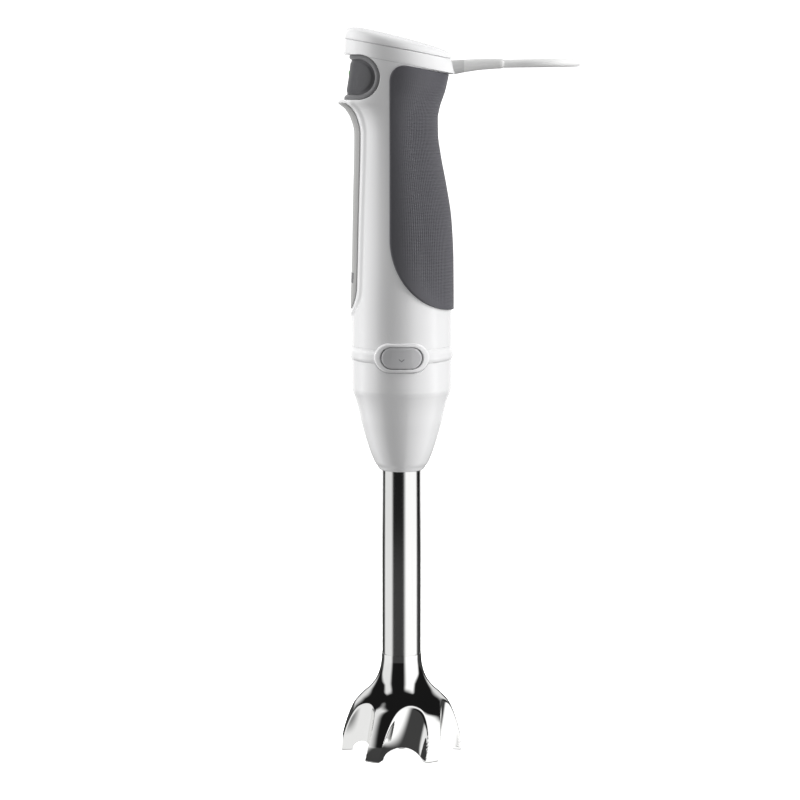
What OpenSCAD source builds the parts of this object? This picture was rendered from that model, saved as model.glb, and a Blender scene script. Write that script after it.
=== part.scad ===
// Hand-held immersion blender: motor handle with a press button, and a
// stainless blending foot that clicks off when both side buttons are pressed.
// Millimetres. +Z is up, the bell stands on z = 0, the button faces -X and
// the cord leaves the back, toward +X.

/* [Blending foot] */
// Outer diameter of the steel tube
tube_d = 20; // [16:0.5:24]
// Wall of the steel tube
tube_wall = 1; // [0.8:0.1:1.5]
// Height at which the tube meets the bell's neck
neck_z = 51.5; // [48:0.5:65]
// Height at which the tube goes into the plastic foot housing
tube_top_z = 148; // [130:1:175]
// Outer diameter of the bell, over its ribs
bell_d = 62.6; // [60:0.2:66]
// Thickness of the bell's sheet
bell_wall = 1.2; // [1:0.1:1.5]
// Number of scoops pressed into the bell
scoops = 6; // [4:1:8]
// Span of the blade from tip to tip
blade_span = 35; // [28:0.5:36]
// Diameter of the drive shaft
shaft_d = 5; // [4:0.5:6]

/* [Handle] */
// Diameter of the round lower body
body_d = 51; // [49:0.5:54]
// Height of the parting line between foot and handle
part_z = 205.5; // [195:0.5:240]
// Wall of the handle shell
shell_wall = 2.2; // [1.6:0.1:2.6]
// Thickness of the soft grip over the shell
grip_t = 1.2; // [0.8:0.1:1.6]
// Thickness of the front strip over the shell
strip_t = 0.8; // [0.5:0.1:1.2]
// Width of the front strip
strip_w = 23; // [16:0.5:28]

/* [Buttons] */
// Radius of the round end of the button opening
button_r = 11.2; // [10:0.1:11.6]
// Width of the bezel around the button
bezel_w = 2.4; // [1.5:0.1:3]
// Travel of the main button
button_travel = 1.2; // [0.8:0.1:1.4]
// Width of each release button
release_w = 20.4; // [16:0.2:22]
// Height of each release button
release_h = 10.8; // [9:0.2:11.6]
// Travel of each release button
release_travel = 2; // [1:0.1:2]

/* [Motor] */
// Outer diameter of the field core
field_d = 41; // [38:0.5:42]
// Length of the lamination stack
stack_l = 26; // [20:1:30]
// Diameter of the armature
armature_d = 22.4; // [20:0.2:24]
// Air gap between armature and field core
air_gap = 0.4; // [0.3:0.1:0.6]
// Diameter of the motor shaft
motor_shaft_d = 6; // [5:0.5:7]

/* [Fits] */
// Radial clearance where a shaft turns in a bush
run_fit = 0.05; // [0.02:0.01:0.1]
// Clearance between pieces that are fixed together
fixed_fit = 0.05; // [0.02:0.01:0.1]
// Clearance around a piece that slides in a guide
slide_fit = 0.3; // [0.2:0.05:0.4]

/* [Cord] */
// Diameter of the mains cord
cord_d = 4; // [3.5:0.1:4.2]

/* [Hidden] */
$fn = 96;
tube_r = tube_d / 2;
bore_r = tube_r - tube_wall;
shaft_r = shaft_d / 2;
body_r = body_d / 2;
bell_r = bell_d / 2;
motor_shaft_r = motor_shaft_d / 2;
// everything above the parting line moves with it
lift = part_z - 205.5;
button_x = -22;
button_z = 348.2 + lift;
release_z = part_z + 3;
// the collar under the cap is tipped down toward the cord
tip = 10.7;
cap_z = 362 + lift;
ledge_z = 355 + lift;

// ---- shared shape functions -------------------------------------------------

// One level of an egg-shaped section: level = [z, tip, centre x, front, rear, half width].
// grow moves its outline outward, front_only and rear_only add to one side.
function ring(level, grow, sides) = [for (i = [0:sides - 1])
    let (a = 360 * i / sides,
         reach = cos(a) < 0 ? level[2] - level[3] + grow : level[4] - level[2] + grow,
         x = level[2] + reach * cos(a),
         y = (level[5] + grow) * sin(a))
    [x, y, level[0] - tan(level[1]) * x]];

// Closed skin between an outer and an inner stack of rings, both from the bottom up.
module skin(outer, inner) {
    n = len(outer[0]);
    loops = concat(outer, [for (k = [len(inner) - 1:-1:0]) inner[k]]);
    m = len(loops);
    polyhedron([for (l = loops) each l],
        [for (k = [0:m - 1], i = [0:n - 1])
            let (a = k * n + i, b = k * n + (i + 1) % n,
                 c = ((k + 1) % m) * n + (i + 1) % n, d = ((k + 1) % m) * n + i)
            each [[a, c, b], [a, d, c]]]);
}

// Solid stack of rings, closed at both ends.
module stack(loops) {
    n = len(loops[0]);
    m = len(loops);
    polyhedron([for (l = loops) each l],
        concat([for (k = [0:m - 2], i = [0:n - 1])
            let (a = k * n + i, b = k * n + (i + 1) % n, c = b + n, d = a + n)
            each [[a, c, b], [a, d, c]]],
            [for (i = [1:n - 2]) [0, i, i + 1]],
            [for (i = [1:n - 2]) [(m - 1) * n, (m - 1) * n + i + 1, (m - 1) * n + i]]));
}

// Handle outline under grip and strip, from the release ring to the cap's parting line.
levels = [for (v = [
    [part_z + 7.2, 0, 0, -25.5, 25.5, 25.5],
    [230, 0, 0, -25.5, 25.5, 25.5],
    [256, 0, 0, -24.8, 25.3, 25.2],
    [277, 0, -0.5, -24.4, 24.2, 24.4],
    [294, 0, -1.5, -24, 21.6, 23.4],
    [310, 0, -2.5, -23.6, 18.6, 22.5],
    [320, 0, -3, -23.5, 17.3, 22.1],
    [328, 0, -3.2, -25.4, 17.2, 22],
    [332, 1, -3.2, -28.2, 17.8, 22.1],
    [335.4, 1.5, -3, -32.2, 18.6, 22.2],
    [337.6, 3, -3, -31.6, 19.2, 22.3],
    [345, 8, -1.5, -30.2, 21, 23],
    [354.9, tip, -1, -29.2, 22.9, 24.2],
    [355, tip, -1, -29.2, 27, 24.2],
    [362, tip, -1.5, -29, 25.2, 24.4]])
    let (side = body_r - 25.5)
    [v[0] == part_z + 7.2 ? v[0] : v[0] + lift, v[1], v[2], v[3] - side, v[4] + side, v[5] + side]];
// the hollow runs straight up behind the hook and inside the collar
hollow = [for (i = [0:len(levels) - 1])
    let (v = levels[i])
    [v[0], v[1], v[2], max(v[3], -body_r) + shell_wall,
     (i > 11 ? levels[12][4] : v[4]) - shell_wall, v[5] - shell_wall]];

// Prism along Y with the D-shaped outline of the button opening.
module d_prism(r, half = 40) {
    translate([button_x, 0, button_z]) {
        rotate([90, 0, 0]) cylinder(r = r, h = 2 * half, center = true);
        translate([-20, -half, -r]) cube([20, 2 * half, 2 * r]);
    }
}

// Prism along Y with the outline of a release button.
module pill(w, h, y0, y1) {
    for (s = [-1, 1]) translate([s * (w - h) / 2, y1, release_z])
        rotate([90, 0, 0]) cylinder(d = h, h = y1 - y0);
    translate([-(w - h) / 2, y0, release_z - h / 2]) cube([w - h, y1 - y0, h]);
}

module tube(r_out, r_in, z0, z1) {
    translate([0, 0, z0]) difference() {
        cylinder(r = r_out, h = z1 - z0);
        translate([0, 0, -1]) cylinder(r = r_in, h = z1 - z0 + 2);
    }
}

// Round wire or cord swept along a route, one ring at each point.
function unit(v) = v / norm(v);
function heading(p, i) = unit(p[min(i + 1, len(p) - 1)] - p[max(i - 1, 0)]);
function carried(n, t) = unit(n - (n * t) * t);
function frames(p, i, n) = i >= len(p) ? [] :
    let (t = heading(p, i), u = carried(n, t)) concat([[t, u]], frames(p, i + 1, u));
module swept(p, r, sides = 8, first = [0, 1, 0.01]) {
    f = frames(p, 0, first);
    stack([for (i = [0:len(p) - 1])
        let (t = f[i][0], u = f[i][1], w = cross(t, u))
        [for (k = [0:sides - 1]) p[i] + r * (cos(360 * k / sides) * u + sin(360 * k / sides) * w)]]);
}
// Catmull-Rom curve through hand-set points
function between(a, b, c, d, t) = 0.5 * ((2 * b) + (c - a) * t
    + (2 * a - 5 * b + 4 * c - d) * t * t + (3 * b - a - 3 * c + d) * t * t * t);
function smooth(p, n) = [for (i = [0:len(p) - 2], k = [0:n - 1])
    between(p[max(i - 1, 0)], p[i], p[i + 1], p[min(i + 2, len(p) - 1)], k / n), p[len(p) - 1]];

// Compression spring along +Z
module coil_spring(r, wire, h, turns) {
    n = 10 * turns;
    swept([for (i = [0:n]) [r * cos(36 * i), r * sin(36 * i), wire / 2 + (h - wire) * i / n]],
        wire / 2, 5, [0, 0, 1]);
}

// ---- blending foot ----------------------------------------------------------

// Half-profile of the bell's outside from the neck down to the ribs, [radius, height].
bell_line = [[10.3, 51.5], [10.3, 48.3], [10.8, 46.2], [11.6, 42], [13.4, 37.6], [16.4, 33.3],
    [21, 29], [24.8, 24.8], [26.9, 20.5], [28.5, 16.2], [29.8, 11.9], [30.8, 7.5], [31.3, 0]];
function bell_wide(v) = v[1] > 30 ? v[0] : v[0] + bell_r - 31.3;
scoop_r = 13;
scoop_at = bell_r + 3.4;
scoop_lean = 14;
hem_r = 13.8;
hem_rise = 6.5;

module bell_form(inset) {
    difference() {
        rotate_extrude() polygon(concat(
            [for (v = bell_line) [bell_wide(v) - inset + (v[1] > 45 ? tube_r - 10 : 0),
                v[1] + (v[1] > 30 ? neck_z - 51.5 : 0) - (inset > 0 && v[1] < 34 && v[1] > 2 ? 0.6 : 0)]],
            [[0, 0], [0, neck_z]]));
        for (k = [0:scoops - 1]) rotate([0, 0, 360 * k / scoops - 90])
            translate([scoop_at, 0, 0]) rotate([-scoop_lean, 0, 0])
                translate([0, 0, -10]) cylinder(r = scoop_r + inset, h = 60);
    }
}
blade_z = 13;
plug_top = neck_z + 8;
plug_bottom = neck_z - 20;

module bell() color("gainsboro") difference() {
    bell_form(0);
    difference() {
        bell_form(bell_wall);
        translate([0, 0, neck_z - 12]) cylinder(r = 60, h = 60);
    }
    translate([0, 0, -1]) cylinder(r = bore_r + fixed_fit, h = neck_z + 2);
    for (k = [0:scoops - 1]) rotate([0, 0, 360 * k / scoops - 90])
        translate([0, 0, hem_rise - hem_r]) rotate([0, 90, 0]) cylinder(r = hem_r, h = 60);
}

module shaft_tube() color("silver")
    tube(tube_r, bore_r, neck_z, tube_top_z + 34);

// Steel plug inside the joint of tube and bell: it carries the lower bush and the seal.
module bearing_plug() color("silver") difference() {
    union() {
        translate([0, 0, plug_bottom]) cylinder(r = bore_r, h = plug_top - plug_bottom);
    }
    translate([0, 0, plug_bottom - 1]) cylinder(r = shaft_r + 1, h = 60);
    translate([0, 0, plug_bottom - 1]) cylinder(r = shaft_r + 3.2, h = 9);
    translate([0, 0, plug_top - 12]) cylinder(r = shaft_r + 2.5, h = 20);
}
module shaft_seal() color("dimgray") difference() {
    translate([0, 0, plug_bottom + 0.5]) cylinder(r = shaft_r + 3.2 - fixed_fit, h = 7.3);
    translate([0, 0, plug_bottom]) cylinder(r = shaft_r + run_fit, h = 9);
    translate([0, 0, plug_bottom]) cylinder(r = shaft_r + 1.6, h = 3);
}
module lower_bush() color("peru")
    tube(shaft_r + 2.5 - fixed_fit, shaft_r + run_fit, plug_top - 12 + fixed_fit, plug_top - 0.5);

// Outline of the foot housing, [radius, height above the tube's entry]
housing_line = [[10.05, 0], [11.2, 0.3], [12.4, 2.2], [13.7, 3.8], [14.6, 6], [16.2, 10], [18, 15.3],
    [19.5, 20.5], [20.9, 25.7], [22, 31], [23, 35], [23.8, 37], [24.5, 39]];
cup_floor = part_z - 14.5;
cup_r = body_r - 3.7;
spigot_r = cup_r - 0.15;
tooth_z = part_z - 8;

module foot_housing() color("whitesmoke") difference() {
    union() {
        rotate_extrude() polygon(concat([[0, tube_top_z]],
            [for (v = housing_line) [v[0] + (v[0] < 15 ? tube_r - 10 : body_r - 25.5),
                tube_top_z + v[1] * (part_z - tube_top_z - 16) / 41.5]],
            [[body_r, part_z - 16], [body_r, part_z], [0, part_z]]));
    }
    translate([0, 0, tube_top_z - 1]) cylinder(r = tube_r + fixed_fit, h = 200);
    // hollow between the outer wall and the core
    translate([0, 0, tube_top_z + 16]) cylinder(r1 = 14.2, r2 = 20.5, h = cup_floor - tube_top_z - 18.4);
    translate([0, 0, cup_floor]) cylinder(r = cup_r, h = 60);
    // groove that the latches catch in
    translate([0, 0, tooth_z - 1.4]) cylinder(r = cup_r + 1.7, h = 4);
    // scallops under the release buttons
    for (s = [0, 180]) rotate([0, 0, s]) {
        intersection() {
            pill(release_w + 7.4, release_h + 4.4, 10, 40);
            tube(60, body_r - shell_wall - 0.2, 150, 400);
        }
        pill(release_w + 1, release_h + 1, 10, 40);
    }
}
// Moulded core that grips the top of the tube and carries the upper bush.
module foot_core() color("lightgray") difference() {
    union() {
        translate([0, 0, tube_top_z + 16.3]) cylinder(r = 13.4, h = cup_floor - tube_top_z - 18.8);
        translate([0, 0, tube_top_z + 34 + fixed_fit]) cylinder(r = bore_r, h = 3);
    }
    translate([0, 0, tube_top_z]) cylinder(r = tube_r + fixed_fit, h = 34 + fixed_fit);
    translate([0, 0, tube_top_z]) cylinder(r = shaft_r + 0.6, h = 60);
}
module upper_bush() color("peru")
    tube(bore_r - fixed_fit, shaft_r + run_fit, tube_top_z + 22, tube_top_z + 33.9);
// Plate that closes the cup's floor around the coupling.
module cup_plate() color("gray") difference() {
    translate([0, 0, cup_floor + fixed_fit]) cylinder(r = cup_r - 0.2, h = 1.6);
    translate([0, 0, cup_floor - 1]) cylinder(r = 9, h = 5);
}

// ---- blade and drive shaft --------------------------------------------------

coupling_z = part_z - 9;
module drive_shaft() color("silver") {
    translate([0, 0, blade_z - 5]) cylinder(r = shaft_r, h = coupling_z + 4 - blade_z + 5);
}
module cross_form(core, rib, reach, z0, h) {
    translate([0, 0, z0]) {
        cylinder(r = core, h = h);
        for (a = [0, 90]) rotate([0, 0, a]) translate([-reach, -rib / 2, 0]) cube([2 * reach, rib, h]);
    }
}
module driven_coupling() color("dimgray") difference() {
    union() {
        cross_form(4.2, 3, 6.6, coupling_z, 7);
        translate([0, 0, coupling_z - 2.2]) cylinder(r = 8, h = 2.2);
    }
    translate([0, 0, coupling_z - 3]) cylinder(r = shaft_r + fixed_fit, h = 7 + fixed_fit);
}
// One wing of the blade: flat at the hub, then bent up or down.
module wing(bend) {
    translate([3, -4, 0]) cube([7, 8, 1.4]);
    translate([9.6, -4, bend > 0 ? 0 : 1.4]) rotate([0, -bend, 0])
        translate([0, 0, bend > 0 ? 0 : -1.4]) intersection() {
            cube([blade_span / 2 - 8.8, 8, 1.4]);
            translate([0, 0, -1]) linear_extrude(4)
                polygon([[0, 0], [blade_span / 2 - 9, 2.4], [blade_span / 2 - 9, 6.4], [3, 8], [0, 8]]);
        }
}
module blade() color("silver") difference() {
    translate([0, 0, blade_z]) {
        cylinder(r = 6, h = 1.4);
        wing(18);
        rotate([0, 0, 180]) wing(-14);
        rotate([0, 0, 90]) wing(-20);
        rotate([0, 0, 270]) wing(12);
    }
    cylinder(r = shaft_r + fixed_fit, h = 60);
}
module blade_hub() color("silver") difference() {
    translate([0, 0, blade_z + 1.4 + fixed_fit]) cylinder(r = 4.6, h = plug_bottom - blade_z - 3.4);
    cylinder(r = shaft_r + fixed_fit, h = 60);
}
module blade_nut() color("silver") difference() {
    translate([0, 0, blade_z - 5 - 1.5]) {
        cylinder(r = 4.6, h = 6.5 - fixed_fit, $fn = 6);
        translate([0, 0, 0]) cylinder(r = 3.4, h = 1);
    }
    translate([0, 0, blade_z - 5]) cylinder(r = shaft_r + fixed_fit, h = 30);
}

// ---- handle outside ---------------------------------------------------------

sides = 48;
module handle_shell() color("white") difference() {
    skin([for (v = levels) ring(v, 0, sides)],
        [for (v = hollow) ring(v, 0, sides)]);
    d_prism(button_r);
    for (s = [0, 180]) rotate([0, 0, s]) pill(release_w + 7.4, release_h + 4.4, 10, 40);
    sleeve_way();
}

// Way out through the collar for the cord's sleeve.
module sleeve_way() translate([15, -sleeve_w / 2 - fixed_fit, sleeve_z - sleeve_h / 2 - fixed_fit])
    cube([20, sleeve_w + 2 * fixed_fit, sleeve_h + 2 * fixed_fit]);

// Lower trim ring with a bead, widened to a rim around each release button.
module release_ring() color("white") difference() {
    union() {
        rotate_extrude() polygon([[body_r - shell_wall, part_z + fixed_fit], [body_r + 0.4, part_z + fixed_fit],
            [body_r + 0.9, part_z + 1], [body_r + 0.9, part_z + 5], [body_r + 0.4, part_z + 6],
            [body_r, part_z + 6], [body_r, part_z + 7.1], [body_r - shell_wall, part_z + 7.1]]);
        for (s = [0, 180]) rotate([0, 0, s]) intersection() {
            pill(release_w + 6.8, release_h + 4, 10, 40);
            tube(body_r + 1.3, body_r - shell_wall, 150, 400);
        }
    }
    for (s = [0, 180]) rotate([0, 0, s]) pill(release_w + 2 * slide_fit, release_h + 2 * slide_fit, 10, 40);
}

module release_button() color("lightgray") difference() {
    union() {
        intersection() {
            pill(release_w, release_h, 10, 40);
            tube(body_r + 1.3, cup_r - 0.5, 150, 400);
        }
        // stem that pushes the latch spring
        translate([-2, latch_y + 0.05, release_z - 4]) cube([4, 6, 4]);
    }
    // arrow mark
    translate([0, body_r + 1.05, release_z - 1.2]) rotate([-90, 0, 0]) rotate([0, 0, 45])
        difference() {
            translate([-1.6, -1.6, 0]) cube([3.2, 3.2, 2]);
            translate([-1.2, -1.2, -1]) translate([-1, -1, 0]) cube([3.4, 3.4, 4]);
        }
}
module release_button_left() rotate([0, 0, 180]) release_button();
module release_button_right() release_button();

latch_y = spigot_r - 2.4;
// Spring-steel latch: a leaf fixed at the top with a tooth turned out at the bottom.
module latch_leaf() color("silver") {
    translate([-3, latch_y - 0.8, tooth_z]) cube([6, 0.8, 21.5]);
    translate([-3, latch_y - 0.8, tooth_z]) cube([6, cup_r + 1.2 - latch_y + 0.8, 0.8]);
    translate([-3, cup_r + 0.4, tooth_z]) cube([6, 0.8, 1.8]);
}
module latch_spring_left() rotate([0, 0, 180]) latch_leaf();
module latch_spring_right() latch_leaf();

// Inner collar of the handle: it drops into the foot's cup and holds the latches.
collar_top = part_z + 17;
module latch_collar() color("gray") difference() {
    union() {
        tube(spigot_r, spigot_r - 2.2, part_z - 10, collar_top);
        tube(body_r - shell_wall - 0.1, spigot_r - 2.2, collar_top - 2, collar_top);
        // pads behind the fixed ends of the latch springs
        for (s = [0, 180]) rotate([0, 0, s])
            translate([-5.5, latch_y - 2.6, part_z + 9.5]) cube([11, 3, collar_top - part_z - 9.5]);
    }
    for (s = [0, 180]) rotate([0, 0, s]) {
        pill(release_w + 1.2, release_h + 1.2, 15, 40);
        translate([-3.4, latch_y - 0.85, tooth_z - 3]) cube([6.8, 8, 15]);
        translate([-3.05, latch_y - 0.85, tooth_z + 3]) cube([6.1, 0.9, 22.5 - 3]);
        translate([-3.4, 15, tooth_z + 3]) cube([6.8, latch_y - 15.8, 15]);
    }
}
module collar_screws() color("silver") for (a = [45, 135, 225, 315])
    rotate([0, 0, a]) translate([spigot_r - 0.35, 0, collar_top + fixed_fit])
        cylinder(r = 1.7, h = 1.4);

// Soft grip: its edge is straight at the front, round at the top and sweeps back below.
grip_edge_x = -6;
grip_corner_r = 9;
grip_top = 354.4 + lift;
grip_low = 231 + lift;
module grip_outline() {
    corner = [grip_edge_x + grip_corner_r,
        grip_top - tan(tip) * (grip_edge_x + grip_corner_r) - grip_corner_r / cos(tip)];
    polygon(concat(
        [for (a = [0:10:90]) [29 - (29 - grip_edge_x) * cos(a), grip_low + 37 - 37 * sin(a)]],
        [[40, grip_low], [40, grip_top - 40 * tan(tip)]],
        [for (k = [0:8]) let (a = 90 - tip + (90 + tip) * k / 8) corner + grip_corner_r * [cos(a), sin(a)]]));
}
grip_levels = [for (i = [1:len(levels) - 3]) levels[i]];
module grip_panel() color("dimgray") difference() {
    intersection() {
        skin([for (v = grip_levels) ring(v, grip_t, sides)],
            [for (v = grip_levels) ring(v, fixed_fit, sides)]);
        rotate([90, 0, 0]) linear_extrude(100, center = true) grip_outline();
    }
    sleeve_way();
}

// Front strip: it runs from the hook down to a round end.
strip_low = 231 + lift;
strip_levels = [for (i = [1:9]) levels[i]];
module front_strip() color("darkgray") intersection() {
    skin([for (v = strip_levels) ring(v, strip_t, sides)],
        [for (v = strip_levels) ring(v, fixed_fit, sides)]);
    translate([-50, 0, 0]) union() {
        translate([0, -strip_w / 2, strip_low + strip_w / 2]) cube([50 - 8, strip_w, 200]);
        translate([0, 0, strip_low + strip_w / 2]) rotate([0, 90, 0]) cylinder(d = strip_w, h = 50 - 8);
    }
}

// Surface of the button pad, set back from the bezel: [z, tip, centre x, front, rear, half width].
pad_levels = [for (v = [[336, 0, -3, -28.3, 18, 21.2], [342, 0, -2, -27.5, 20, 21.5],
    [347, 0, -1.5, -26.7, 21, 21.9], [352, 0, -1, -26, 22, 22.2], [360.5, 0, -1, -25.2, 22, 22.6]])
    [v[0] + lift, v[1], v[2], v[3], v[4], v[5]]];
bezel_levels = [for (v = pad_levels) [v[0], v[1], v[2], v[3] - 1.2, v[4], v[5] + 1]];

// Dark frame round the button, with the shape of a D lying on its side. Its lip covers the button's edge.
pad_r = button_r - bezel_w + slide_fit;
module button_bezel() color("dimgray") difference() {
    intersection() {
        skin([for (v = bezel_levels) ring(v, 0, sides)],
            [for (v = bezel_levels) ring(v, -2.2, sides)]);
        d_prism(button_r - fixed_fit);
    }
    d_prism(button_r - bezel_w);
    // room under the lip for the button's edge over its travel
    intersection() {
        stack([for (v = pad_levels) ring(v, 0.15, sides)]);
        hull() for (x = [0, button_travel]) translate([x, 0, 0]) d_prism(pad_r + slide_fit);
    }
}
module main_button() color("dimgray") difference() {
    union() {
        intersection() {
            skin([for (v = pad_levels) ring(v, -0.1, sides)],
                [for (v = pad_levels) ring(v, -2, sides)]);
            d_prism(pad_r);
        }
        // stem behind the face
        translate([-25.6, -2.5, button_z - 3]) cube([5.4, 5, 6]);
        translate([-25.6, 0, button_z - 6.4]) rotate([0, 90, 0]) cylinder(r = 1.4, h = 5);
    }
    // seat of the light
    translate([-40, 0, button_z - 2 + 4]) rotate([0, 90, 0]) cylinder(r = 1.25, h = 15.8);
}
module button_light() color("limegreen")
    translate([-26.3, 0, button_z + 2]) rotate([0, 90, 0]) cylinder(r = 1.2, h = 2);

// Bracket inside the handle that holds the bezel, the switch and the button's spring.
carrier_x = -12.6;
module switch_carrier() color("gray") difference() {
    translate([carrier_x, -13, button_z - 14]) cube([2.4, 26, 26]);
    translate([carrier_x - 1, -5, button_z - 3]) cube([5, 10, 3]);
}
module micro_switch() color("black") difference() {
    translate([carrier_x - 5.4, -6, button_z - 3.4]) cube([5.35, 12, 6.8]);
    translate([carrier_x - 9, 0, button_z]) rotate([0, 90, 0]) cylinder(r = 1.5 + run_fit, h = 8);
}
module switch_plunger() color("firebrick")
    translate([-20.15, 0, button_z]) rotate([0, 90, 0]) cylinder(r = 1.5, h = 4.4);
module button_spring() color("silver")
    translate([-20.5, 0, button_z - 6.4]) rotate([0, 90, 0])
        coil_spring(2.2, 0.5, carrier_x + 20.4, 5);

// Cap: a shallow dome on the collar, tipped down toward the cord.
cap_line = [[0, 1], [0.6, 1], [2.6, 0.985], [4.2, 0.93], [5.2, 0.82], [5.9, 0.6], [6.2, 0.3]];
module top_cap() color("white") difference() {
    stack([for (v = cap_line)
        ring([cap_z + fixed_fit + v[0], tip + 1.2 * v[0] / 6.2 * 3, -1.5, -1.5 - 27.6 * v[1],
            -1.5 + 26.8 * v[1], 24.5 * v[1]], 0, sides)]);
    stack([for (v = [[-1, 1], [3.4, 0.98]])
        ring([cap_z + v[0], tip, -1.5, -1.5 - 25 * v[1], -1.5 + 24 * v[1], 22 * v[1]], 0, 24)]);
}

// ---- motor ------------------------------------------------------------------

stack_z = part_z + 34;
stack_top = stack_z + stack_l;
brush_z = stack_top + 13;
rotor_low = part_z + 2;
fan_z = part_z + 17.6;
upper_seat = brush_z + 4.5;
rotor_top = upper_seat + 7;

module motor_shaft() color("silver")
    translate([0, 0, rotor_low]) cylinder(r = motor_shaft_r, h = rotor_top - rotor_low);
module armature_core() color("slategray") difference() {
    translate([0, 0, stack_z]) cylinder(d = armature_d, h = stack_l);
    cylinder(r = motor_shaft_r + fixed_fit, h = 400);
    for (k = [0:11]) rotate([0, 0, 30 * k])
        translate([armature_d / 2 - 3.4, -0.9, 0]) cube([5, 1.8, 400]);
}
module armature_winding() color("chocolate") difference() {
    union() {
        translate([0, 0, stack_z - 5]) cylinder(r1 = 7.4, r2 = armature_d / 2 - 1, h = 5 - fixed_fit);
        translate([0, 0, stack_top + fixed_fit]) cylinder(r1 = armature_d / 2 - 1, r2 = 7.4, h = 5);
    }
    cylinder(r = motor_shaft_r + fixed_fit, h = 400);
}
module commutator() color("peru") difference() {
    translate([0, 0, brush_z - 6]) cylinder(r = 8, h = 10);
    cylinder(r = motor_shaft_r + fixed_fit, h = 400);
    for (k = [0:11]) rotate([0, 0, 30 * k + 15])
        translate([6.8, -0.25, brush_z - 3.5]) cube([3, 0.5, 30]);
}
module cooling_fan() color("lightgray") difference() {
    union() {
        translate([0, 0, fan_z]) cylinder(r = 6, h = 5);
        translate([0, 0, fan_z + 3.6]) cylinder(r = 17.5, h = 1.4);
        for (k = [0:8]) rotate([0, 0, 40 * k]) translate([5, -0.6, fan_z]) cube([12, 1.2, 4.5]);
    }
    cylinder(r = motor_shaft_r + fixed_fit, h = 400);
}
module drive_coupling() color("dimgray") difference() {
    translate([0, 0, coupling_z + 0.6]) cylinder(r = 8.4, h = 20);
    translate([0, 0, coupling_z + 8.1]) cylinder(r = motor_shaft_r + fixed_fit, h = 20);
    cross_form(4.2 + 0.4, 3.8, 7, coupling_z, 7.6);
}

module field_core() color("slategray") difference() {
    intersection() {
        translate([0, 0, stack_z]) cylinder(d = field_d, h = stack_l);
        translate([-field_d / 2 + 1.5, -50, 0]) cube([field_d - 3, 100, 400]);
    }
    translate([0, 0, stack_z - 1]) cylinder(r = armature_d / 2 + air_gap, h = 60);
    // slots that hold the field coils
    for (s = [0, 180], t = [-1, 1]) rotate([0, 0, s])
        translate([6.5, t * 11 - 2.6, stack_z - 1]) cube([8, 5.2, 60]);
}
module field_coils() color("chocolate") {
    for (s = [0, 180]) rotate([0, 0, s]) {
        for (t = [-1, 1]) translate([8.3, t * 11 - 2.4, stack_z - 4]) cube([5.6, 4.8, stack_l + 8]);
        for (z = [stack_z - 4, stack_top + 0.1])
            translate([12.4, -8.7, z]) cube([3.9, 17.4, 3.9]);
    }
}
module bracket(z0, h, seat_z, seat_h, bearing_r) difference() {
    union() {
        tube(field_d / 2, field_d / 2 - 1, z0, z0 + h);
        translate([0, 0, seat_z]) cylinder(r = bearing_r + 2, h = seat_h);
        for (a = [0:90:270]) rotate([0, 0, a + 45])
            translate([bearing_r + 1, -2.5, seat_z]) cube([field_d / 2 - bearing_r - 1.8, 5, seat_h]);
    }
    translate([0, 0, seat_z + 1]) cylinder(r = bearing_r + fixed_fit, h = seat_h);
    cylinder(r = motor_shaft_r + 0.8, h = 400);
}
lower_seat = part_z + 23;
module lower_bracket() color("silver")
    bracket(lower_seat, stack_z - lower_seat - 0.05, lower_seat, 5, 6.5);
module upper_bracket() color("silver") difference() {
    bracket(stack_top + 0.05, brush_z + 6 - stack_top, upper_seat, 5.5, 6.5);
    for (s = [-1, 1]) translate([-3.6, s * 16 - 8, brush_z - 3.6]) cube([7.2, 16, 7.2]);
}
module lower_bearing() color("silver")
    tube(6.5, motor_shaft_r + run_fit, lower_seat + 1.05, lower_seat + 5);
module upper_bearing() color("silver")
    tube(6.5, motor_shaft_r + run_fit, upper_seat + 1.05, upper_seat + 5.5);
module brush_holders() color("goldenrod") for (s = [0, 180]) rotate([0, 0, s]) difference() {
    translate([-3.5, 9.2, brush_z - 3.5]) cube([7, 10.4, 7]);
    translate([-2.6, 9, brush_z - 2.6]) cube([5.2, 10, 5.2]);
}
module carbon_brushes() color("black") for (s = [0, 180]) rotate([0, 0, s])
    translate([-2.5, 8.1, brush_z - 2.5]) cube([5, 7, 5]);
module brush_springs() color("silver") for (s = [0, 180]) rotate([0, 0, s])
    translate([0, 15.15, brush_z]) rotate([-90, 0, 0]) coil_spring(1.8, 0.4, 3.8, 4);
// Rubber rings that carry the motor inside the shell.
module motor_dampers() color("black")
    tube(body_r - shell_wall - 0.9, field_d / 2 + fixed_fit, stack_z - 3, stack_z + 3);

// ---- electrics --------------------------------------------------------------

board_x = carrier_x + 2.45;
module control_board() color("seagreen")
    translate([board_x, -12, button_z - 40]) cube([1.6, 24, 50]);
module capacitor() color("goldenrod")
    translate([board_x + 1.65, -8, button_z - 30]) cube([7, 16, 12]);
module choke() color("saddlebrown")
    translate([board_x + 1.65, 0, button_z - 10]) rotate([0, 90, 0]) tube(6, 2.6, 0, 6);
module terminal_block() color("ivory") difference() {
    translate([5, -7, sleeve_z - 6]) cube([9, 14, 8]);
    for (s = [-1, 1]) translate([9.5, 3.4 * s, sleeve_z - 3]) cylinder(r = 1.4, h = 10);
}

// ---- cord -------------------------------------------------------------------

sleeve_w = 9;
sleeve_h = 6.7;
sleeve_z = 353.2 + lift;
sleeve_x = 25.6;
sleeve_end = [51, 0, 355 + lift];
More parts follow.
